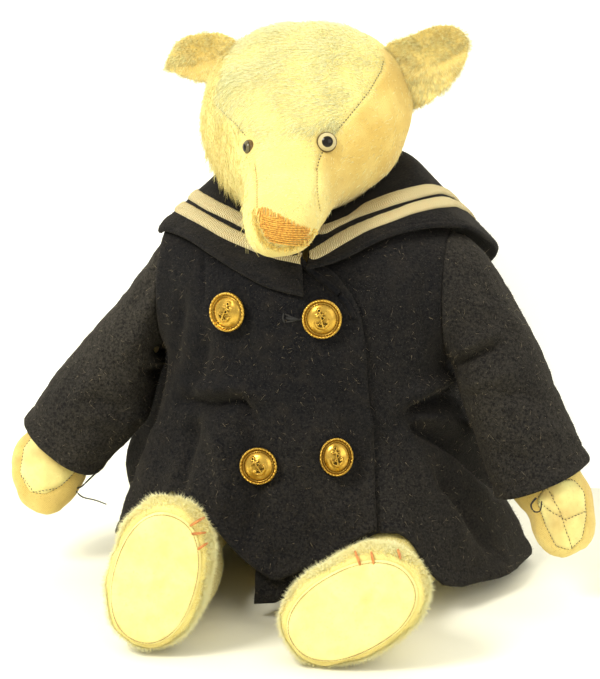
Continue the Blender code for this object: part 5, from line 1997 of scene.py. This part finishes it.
def collarSheet():
    # the collar's underside as a grid; half its rows lie within reach of the outer edge
    rows, columns = 80, collar["columns"]
    grid = np.empty((rows, columns, 3))
    for c, along in enumerate(np.linspace(0, 1, columns)):
        path = collarProfile(along)
        step = stepsOf(path)
        near = np.linspace(0, collarReach, rows // 2)
        far = np.linspace(collarReach, step[-1], rows // 2 + 1)[1:]
        at = np.r_[near, far]
        grid[:, c] = np.stack([np.interp(at, step, path[:, k]) for k in range(3)], -1)
    for _ in range(30):
        grid[1:-1] = (grid[:-2] + grid[1:-1] * 2 + grid[2:]) / 4
    for _ in range(10):
        grid[:, 1:-1] = (grid[:, :-2] + grid[:, 1:-1] * 2 + grid[:, 2:]) / 4
    lumps = fractal(grid.reshape(-1, 3) * mm, 24 * mm, 111, 2).reshape(rows, columns)
    normals = gridNormals(grid)
    normals *= np.sign(normals[..., 2].mean())
    grid = grid + normals * (0.35 * np.clip(lumps, -0.8, 1))[..., None]
    core = Vector((0, shoulder["forward"] * mm, shoulder["up"] * mm))
    for r in range(rows):
        for c in range(columns):
            place = Vector(grid[r, c] * mm)
            heading = (place - core).normalized()
            start = core + heading * 0.13
            hit = coatTree.ray_cast(start, -heading)
            if hit[0] is not None and hit[3] < 0.13:
                reach = (hit[0] - core).length + collar["lift"] * mm
                if (place - core).length < reach:
                    place = core + heading * reach
            near, normal, _, gap = coatTree.find_nearest(place)
            if gap < collar["lift"] * mm and gap > 0:
                place = place + (place - near).normalized() * (collar["lift"] * mm - gap)
            grid[r, c] = np.array(place) / mm
    for _ in range(3):
        grid[1:-1] = (grid[:-2] + grid[1:-1] * 2 + grid[2:]) / 4
        grid[:, 1:-1] = (grid[:, :-2] + grid[:, 1:-1] * 2 + grid[:, 2:]) / 4
    return grid


collarUnder = collarSheet()
collarOut = gridNormals(collarUnder)
collarOut *= np.sign(collarOut[..., 2].mean())


def onCollar(along, distance):
    # points and normals of the collar's underside at shares of its length and distances
    rows, columns = collarUnder.shape[:2]
    r = np.asarray(distance, float) / collarReach * (rows // 2 - 1)
    c = np.asarray(along, float) * (columns - 1)
    r0 = np.clip(r.astype(int), 0, rows - 2)
    c0 = np.clip(c.astype(int), 0, columns - 2)
    u = (r - r0)[..., None]
    v = (c - c0)[..., None]
    found = []
    for grid in (collarUnder, collarOut):
        one = grid[r0, c0] * (1 - v) + grid[r0, c0 + 1] * v
        two = grid[r0 + 1, c0] * (1 - v) + grid[r0 + 1, c0 + 1] * v
        found.append(one * (1 - u) + two * u)
    return found


def buildCollar():
    rows, columns = collarUnder.shape[:2]
    wall = collar["wall"] * edgeTaper(rows, columns)
    bulge = (collar["wall"] - wall)[..., None] / 2
    stitched = np.linspace(0, collarReach, rows // 2)
    dip = np.zeros(rows)
    dip[: rows // 2] = 0.35 * np.exp(-(((stitched - 2.6) / 0.5) ** 2))
    low = collarUnder + collarOut * bulge
    top = low + collarOut * (wall - dip[:, None])[..., None]
    keep = np.ones((rows - 1, columns - 1), bool)
    item = closedSheet("collar_wool", top * mm, low * mm, keep, wool)
    setFloats(item, "wearAndSheen", np.full(len(item.data.vertices), 0.2))
    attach(item, "body")
    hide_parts("collar")
    return item


collarItem = buildCollar()


def stripeEdge(along, line, usual):
    # how far in from the outer edge each column of the collar meets a line of the picture
    line = sorted(line)
    xs, ys = [p[0] for p in line], [p[1] for p in line]
    found = np.full(len(along), np.nan)
    depth = np.linspace(1.0, collarReach - 0.2, 90)
    grid, normals = onCollar(along[:, None].repeat(90, 1), depth[None, :].repeat(len(along), 0))
    pixels = toPixels(
        ((grid + normals * (collar["wall"] + 0.6)) * mm).reshape(-1, 3)
    ).reshape(len(along), 90, 2)
    shown = np.array([np.mean(n @ camBack) > 0.05 and g[0, 1] < 20 for n, g in zip(normals, grid)])
    for k in range(len(along)):
        above = pixels[k, :, 1] < np.interp(pixels[k, :, 0], xs, ys)
        inside = (pixels[k, :, 0] > xs[0]) & (pixels[k, :, 0] < xs[-1])
        hits = np.nonzero(above & inside)[0]
        if shown[k] and len(hits) and hits[0] > 0:
            found[k] = depth[hits[0]]
    known = np.nonzero(~np.isnan(found))[0]
    if len(known) == 0:
        return np.full(len(along), usual)
    away = np.abs(
        np.arange(len(along))
        - known[np.argmin(np.abs(np.arange(len(along))[:, None] - known), axis=1)]
    )
    filled = np.interp(np.arange(len(along)), known, found[known])
    hold = smoothStep(0.12 * len(along), 0.02 * len(along), away)
    filled = np.clip(filled, usual - 4, usual + 9)
    filled = usual + (filled - usual) * hold
    for _ in range(60):
        filled[1:-1] = (filled[:-2] + filled[1:-1] * 2 + filled[2:]) / 4
    return filled


def buildBraid(name, node, near, far, lines):
    # one stripe, between two distances from the collar's outer edge
    rows, columns = 8, 720
    along = np.linspace(0.004, 0.996, columns)
    edges = []
    for usual, left, right in ((near, lines[0], lines[2]), (far, lines[1], lines[3])):
        one = stripeEdge(along, left, usual)
        two = stripeEdge(along, right, usual)
        edges.append(np.where(along > 0.5, one, two))
    across = np.linspace(0, 1, rows)[:, None].repeat(columns, 1)
    distance = edges[0] + (np.maximum(edges[1], edges[0] + 3.0) - edges[0]) * across
    along = along[None, :].repeat(rows, 0)
    grid, normals = onCollar(along, np.minimum(distance, collarReach - 0.3))
    crown = 0.8 * (1 - (2 * across - 1) ** 4)
    frayed = fractal(grid.reshape(-1, 3) * mm, 1.6 * mm, 12, 2).reshape(rows, columns) * 0.22
    top = grid + normals * (collar["wall"] + 0.3 + crown + frayed)[..., None]
    low = grid + normals * (collar["wall"] - 0.3)
    keep = np.ones((rows - 1, columns - 1), bool)
    item = closedSheet(name, top * mm, low * mm, keep, braid)
    run = stepsOf(grid[rows // 2])
    uv = item.data.uv_layers.new(name="run")
    index = np.empty(len(item.data.loops), np.int32)
    item.data.loops.foreach_get("vertex_index", index)
    k = index % (rows * columns)
    values = np.stack([run[k % columns] / 0.9, (k // columns) / (rows - 1)], -1)
    uv.data.foreach_set("uv", values.astype(np.float32).ravel())
    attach(item, "body")
    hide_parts(node)
    return item


edge = collar["border"]
outerBraid = buildBraid(
    "braid_outer_stripe", "collar_braid_outer", edge, edge + collar["stripe"], collar["outerLines"]
)
edge += collar["stripe"] + collar["gap"]
innerBraid = buildBraid(
    "braid_inner_stripe", "collar_braid_inner", edge, edge + collar["stripe"], collar["innerLines"]
)
print("collar built")

# Buttons: domed, with a rope or milled rim and an anchor standing up from the middle
buttons = {
    "button_upper_right": {
        "radius": 9.1, "size": (0.94, 0.94), "turn": -20.0, "rim": "rope", "shift": (1.4, 0, 1.2)
    },
    "button_upper_left": {
        "radius": 9.1, "size": (0.94, 0.94), "turn": 15.0, "rim": "milled", "shift": (1.4, 0, 1.5)
    },
    "button_lower_right": {
        "radius": 9.1, "size": (0.91, 0.89), "turn": 35.0, "rim": "rope", "shift": (0, 0, 0.5)
    },
    "button_lower_left": {
        "radius": 9.1, "size": (0.80, 0.92), "turn": 10.0, "rim": "rope", "shift": (0, 0, 0.8)
    }
}
anchorStrokes = [
    # x, y, x, y, half width, in shares of the button's radius
    (0.0, 0.36, 0.0, -0.44, 0.050),
    (-0.20, 0.24, 0.20, 0.24, 0.042),
    (-0.34, -0.10, -0.26, -0.32, 0.050),
    (-0.26, -0.32, 0.0, -0.46, 0.055),
    (0.0, -0.46, 0.26, -0.32, 0.055),
    (0.26, -0.32, 0.34, -0.10, 0.050),
    (-0.34, -0.10, -0.20, -0.20, 0.040),
    (0.34, -0.10, 0.20, -0.20, 0.040),
    (-0.08, 0.30, 0.18, 0.05, 0.028),
    (0.18, 0.05, -0.14, -0.14, 0.028),
    (-0.14, -0.14, 0.12, -0.34, 0.028),
]
buttonProfile = [
    (0.0, 5.1), (2.6, 4.95), (5.2, 4.3), (6.5, 3.5), (7.0, 2.9), (7.4, 3.1), (8.2, 4.3), (8.9, 3.8),
    (9.1, 3.0), (8.8, 2.2), (7.6, 1.7), (2.2, 1.5), (2.0, 0.3), (0.0, 0.3)
]


def buildButton(node):
    b = buttons[node]
    source = bpy.data.objects[node]
    points = np.array([list(source.matrix_world @ v.co) for v in source.data.vertices])
    centre = (points.min(0) + points.max(0)) / 2
    spread = points - points.mean(0)
    axis = np.linalg.svd(spread, full_matrices=False)[2][2]
    if axis[1] > 0:
        axis = -axis
    base = centre + axis * ((spread @ axis).min() - (centre - points.mean(0)) @ axis)
    base = base + np.array(b["shift"]) * mm
    upward = np.array([0, 0, 1.0]) - axis * axis[2]
    upward /= np.linalg.norm(upward)
    across = np.cross(upward, axis)
    rows, columns = 70, 120
    profile = np.array(buttonProfile, float)
    step = stepsOf(profile)
    at = np.linspace(0.15, step[-1] - 0.15, rows)
    radius = np.interp(at, step, profile[:, 0])
    height = np.interp(at, step, profile[:, 1])
    for _ in range(2):
        height[1:-1] = (height[:-2] + height[1:-1] * 2 + height[2:]) / 4
        radius[1:-1] = (radius[:-2] + radius[1:-1] * 2 + radius[2:]) / 4
    angle = np.linspace(0, 2 * np.pi, columns, endpoint=False)
    turn = math.radians(b["turn"])
    x = radius[:, None] * np.cos(angle - turn)
    y = radius[:, None] * np.sin(angle - turn)
    z = height[:, None].repeat(columns, 1)
    onTop = (at < step[8])[:, None]
    relief = np.zeros_like(x)
    unit = b["radius"]
    for ax, ay, bx, by, wide in anchorStrokes:
        a = np.array([ax, ay]) * unit
        d = np.array([bx - ax, by - ay]) * unit
        s = np.clip(((x - a[0]) * d[0] + (y - a[1]) * d[1]) / (d @ d), 0, 1)
        away = np.hypot(x - a[0] - s * d[0], y - a[1] - s * d[1])
        relief = np.maximum(relief, smoothStep(wide * unit * 1.5, wide * unit * 0.5, away))
    ringAway = np.abs(np.hypot(x, y - 0.46 * unit) - 0.08 * unit)
    relief = np.maximum(relief, smoothStep(0.055 * unit, 0.02 * unit, ringAway))
    z = z + relief * 0.85 * onTop
    rimShare = np.exp(-(((radius - 8.25) / 0.62) ** 2))[:, None]
    if b["rim"] == "rope":
        pattern = np.sin(angle[None, :] * 30 + radius[:, None] * 2.6)
    else:
        pattern = np.sin(angle[None, :] * 38)
    z = z + rimShare * pattern * 0.32 * onTop
    grid = (
        base + across * (radius[:, None] * np.cos(angle))[..., None] * b["size"][0] * mm + upward
        * (radius[:, None] * np.sin(angle))[..., None] * b["size"][1] * mm + axis * z[..., None]
        * mm
    )
    item = makeMesh(node + "_brass", *solidOf(grid), brass)
    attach(item, "body")
    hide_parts(node)
    return item


for node in buttons:
    buildButton(node)
print("buttons built")

# Worked buttonhole, lapel roll and loose threads
frontTrees = [treeOf(collarItem), coatTree]


def onFront(line, lift):
    # points on whichever cloth the camera meets first
    found = []
    for px, py in line:
        best = None
        for tree in frontTrees:
            hit = tree.ray_cast(Vector(camPlace), pixelRay(px, py))
            if hit[0] is not None and (best is None or hit[3] < best[3]):
                best = hit
        if best:
            found.append(np.array(best[0] + best[1] * lift))
    return found


threads = {
    "lapelRoll": 3.4, "buttonholeEdge": 0.9, "buttonholeSlitShade": 1.7, "cuffThread": 0.95,
    "cuffLoop": 0.9
}
lapelLine = denser(
    [(286, 250), (296, 258), (308, 269), (322, 280), (336, 291), (347, 303), (354, 318)], 3
)
lapelPath = np.array(onFront(lapelLine, 0.5 * mm))
for _ in range(8):
    lapelPath[1:-1] = (lapelPath[:-2] + lapelPath[1:-1] * 2 + lapelPath[2:]) / 4
strand("lapel_roll", lapelPath, threads["lapelRoll"] * mm, wool, "body", taper=0.75, sides=14)
holeLines = []
for line in (
    [(285, 314), (291, 317), (297, 319), (301, 320)],
    [(286, 322), (292, 321), (297, 320), (302, 319)], [(284, 313), (283, 318), (285, 323)]
):
    holeLines.append(onSurface(coatTree, denser(line, 2), 0.25 * mm))
rim = strandMesh("buttonhole_edge", holeLines, threads["buttonholeEdge"] * mm, blackThread)
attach(rim, "body")
# a near-black strand along the slit: painted shade in the buttonhole's gap
slit = onSurface(coatTree, denser([(286, 318), (292, 319), (299, 319.5)], 2), 0.1 * mm)
rim = strandMesh("buttonhole_slit", [slit], threads["buttonholeSlitShade"] * mm, gapShade)
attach(rim, "body")
strand(
    "cuff_thread",
    [
        np.array(p) * mm
        for p in alongRows(
            [
                (-91, -32, 46), (-94, -33, 43), (-98, -33, 39), (-101, -32, 37), (-98, -32.5, 34),
                (-92, -33, 33), (-87, -32, 31)
            ], np.linspace(0, 1, 40)
        )
    ], threads["cuffThread"] * mm, blackThread, "arm_right"
)
strand(
    "cuff_loop",
    [
        np.array(p) * mm
        for p in alongRows(
            [
                (106, -46.5, 50), (104, -47.5, 47), (105.5, -48.5, 44.5), (108, -48.5, 45),
                (108.5, -47.5, 49)
            ], np.linspace(0, 1, 30)
        )
    ], threads["cuffLoop"] * mm, blackThread, "arm_left"
)

# Nap and lint on the wool
nap = {"perMm": 0.30, "length": 1.6, "thickness": 0.13, "stand": 0.5, "stray": 0.9, "curl": 0.3}
lint = {"perMm": 0.055, "length": 2.8, "thickness": 0.13, "stand": 0.10, "stray": 1.0, "curl": 0.5}


def napOver(name, item, body, seedNumber, values, material):
    seed = skinCopy("napSeed", item)
    points = pointsOf(item)
    normals = vertexNormals(item)
    middle = points.mean(0)
    out = points - middle
    out[:, 2] *= 0.3
    shown = smoothStep(
        -0.1, 0.3, np.sum(normals * out, 1) / np.maximum(np.linalg.norm(out, axis=1), 1e-9)
    )
    cloud = np.clip(0.7 + fractal(points, 15 * mm, seedNumber, 3), 0.1, 1.6)
    setFloats(seed, "pileDensity", shown * cloud)
    setFloats(
        seed, "pileLength",
        np.clip(0.9 + 0.4 * fractal(points, 8 * mm, seedNumber + 3, 2), 0.4, 1.4)
    )
    setVectors(seed, "pileFlow", np.tile(np.array([0.1, 0, -0.3]), (len(points), 1)))
    made = growPile(name, seed, material, body, pileValues(values, seedNumber))
    dropObject(seed)
    return made


napOver("coat_nap", coatItem, "body", 201, nap, napFibre)
napOver("coat_lint", coatItem, "body", 202, lint, lintFibre)
napOver("collar_nap", collarItem, "body", 203, nap, napFibre)
for label, side in (("left", 1), ("right", -1)):
    napOver("sleeve_nap_" + label, sleeveItems[label], "arm_" + label, 204 + side, nap, napFibre)
    napOver("sleeve_lint_" + label, sleeveItems[label], "arm_" + label, 207 + side, lint, lintFibre)
print("nap and lint grown")

# Hardware of the joints keeps the solid's shape and gets its own surface
def agedSteel(name="agedSteel"):
    s = Shade(name, (0.30, 0.28, 0.26), 0.45, 1.0)
    rust = s.noise(600.0, 4.0)
    colour = s.mix(s.ramp(rust, 0.45, 0.65), (0.32, 0.30, 0.28), (0.20, 0.10, 0.05))
    return s.done(colour, s.bump(rust, 0.05 * mm, 0.6))


def pressedCard(name="pressedCard"):
    s = Shade(name, (0.40, 0.29, 0.18), 0.9)
    grain = s.noise(500.0, 4.0)
    colour = s.mix(s.ramp(grain, 0.35, 0.65), (0.34, 0.24, 0.14), (0.46, 0.35, 0.22))
    return s.done(colour, s.bump(grain, 0.1 * mm, 0.7))


steel = agedSteel()
card = pressedCard()
for item in list(bpy.data.objects):
    if item.type != "MESH":
        continue
    if item.name.startswith(("washer_", "cotter_pin_", "eye_wire")):
        for slot in item.material_slots:
            slot.material = steel
    if item.name.startswith("disc_"):
        for slot in item.material_slots:
            slot.material = card


# Stage and light
stage = {
    "floor": (0.93, 0.92, 0.80), "wallBack": 0.135, "sky": 0.86, "key": 14.0, "fill": 3.0,
    "reach": 3.0, "wallGlow": 0.35
}


def stageMaterial(name, colour, glow, oneSided=False):
    # plain paper; a one-sided sheet is clear from behind
    s = Shade(name, colour, 0.9)
    paper = s.noise(40.0, 2.0)
    s.shader.inputs["Specular IOR Level"].default_value = 0.0
    s.shader.inputs["Emission Color"].default_value = (*colour, 1)
    s.shader.inputs["Emission Strength"].default_value = glow
    if oneSided:
        behind = s.add("ShaderNodeNewGeometry").outputs["Backfacing"]
        s.over(s.add("ShaderNodeBsdfTransparent"), behind)
    return s.done(None, s.bump(paper, 0.1 * mm, 0.1))


reach, back = stage["reach"], stage["wallBack"]
floor = makeMesh(
    "floor", [(-reach, -reach, 0), (reach, -reach, 0), (reach, back, 0), (-reach, back, 0)],
    [(0, 1, 2, 3)], stageMaterial("tablePaper", stage["floor"], 0.0)
)
wall = makeMesh(
    "backdrop", [(-reach, back, 0), (reach, back, 0), (reach, back, reach), (-reach, back, reach)],
    [(0, 1, 2, 3)], stageMaterial("backPaper", (1.0, 1.0, 0.97), stage["wallGlow"], oneSided=True),
    tidy=False
)

world = bpy.data.worlds.new("studio")
bpy.context.scene.world = world
world.use_nodes = True
world.node_tree.nodes["Background"].inputs["Color"].default_value = (1.0, 0.98, 0.92, 1)
world.node_tree.nodes["Background"].inputs["Strength"].default_value = stage["sky"]


def softLamp(name, place, aim, width, height, power, colour):
    data = bpy.data.lights.new(name, "AREA")
    data.shape = "RECTANGLE"
    data.size = width
    data.size_y = height
    data.energy = power
    data.color = colour
    lamp = bpy.data.objects.new(name, data)
    bpy.context.scene.collection.objects.link(lamp)
    lamp.location = place
    lamp.rotation_euler = (Vector(place) - Vector(aim)).to_track_quat("Z", "Y").to_euler()


softLamp("keyLamp", (-0.55, -0.85, 1.0), (0, 0, 0.1), 0.4, 0.4, stage["key"], (1.0, 0.97, 0.88))
softLamp("fillLamp", (0.8, -0.8, 0.6), (0, 0, 0.1), 0.7, 0.7, stage["fill"], (1.0, 0.97, 0.90))

scene = bpy.context.scene
scene.view_settings.view_transform = "Standard"
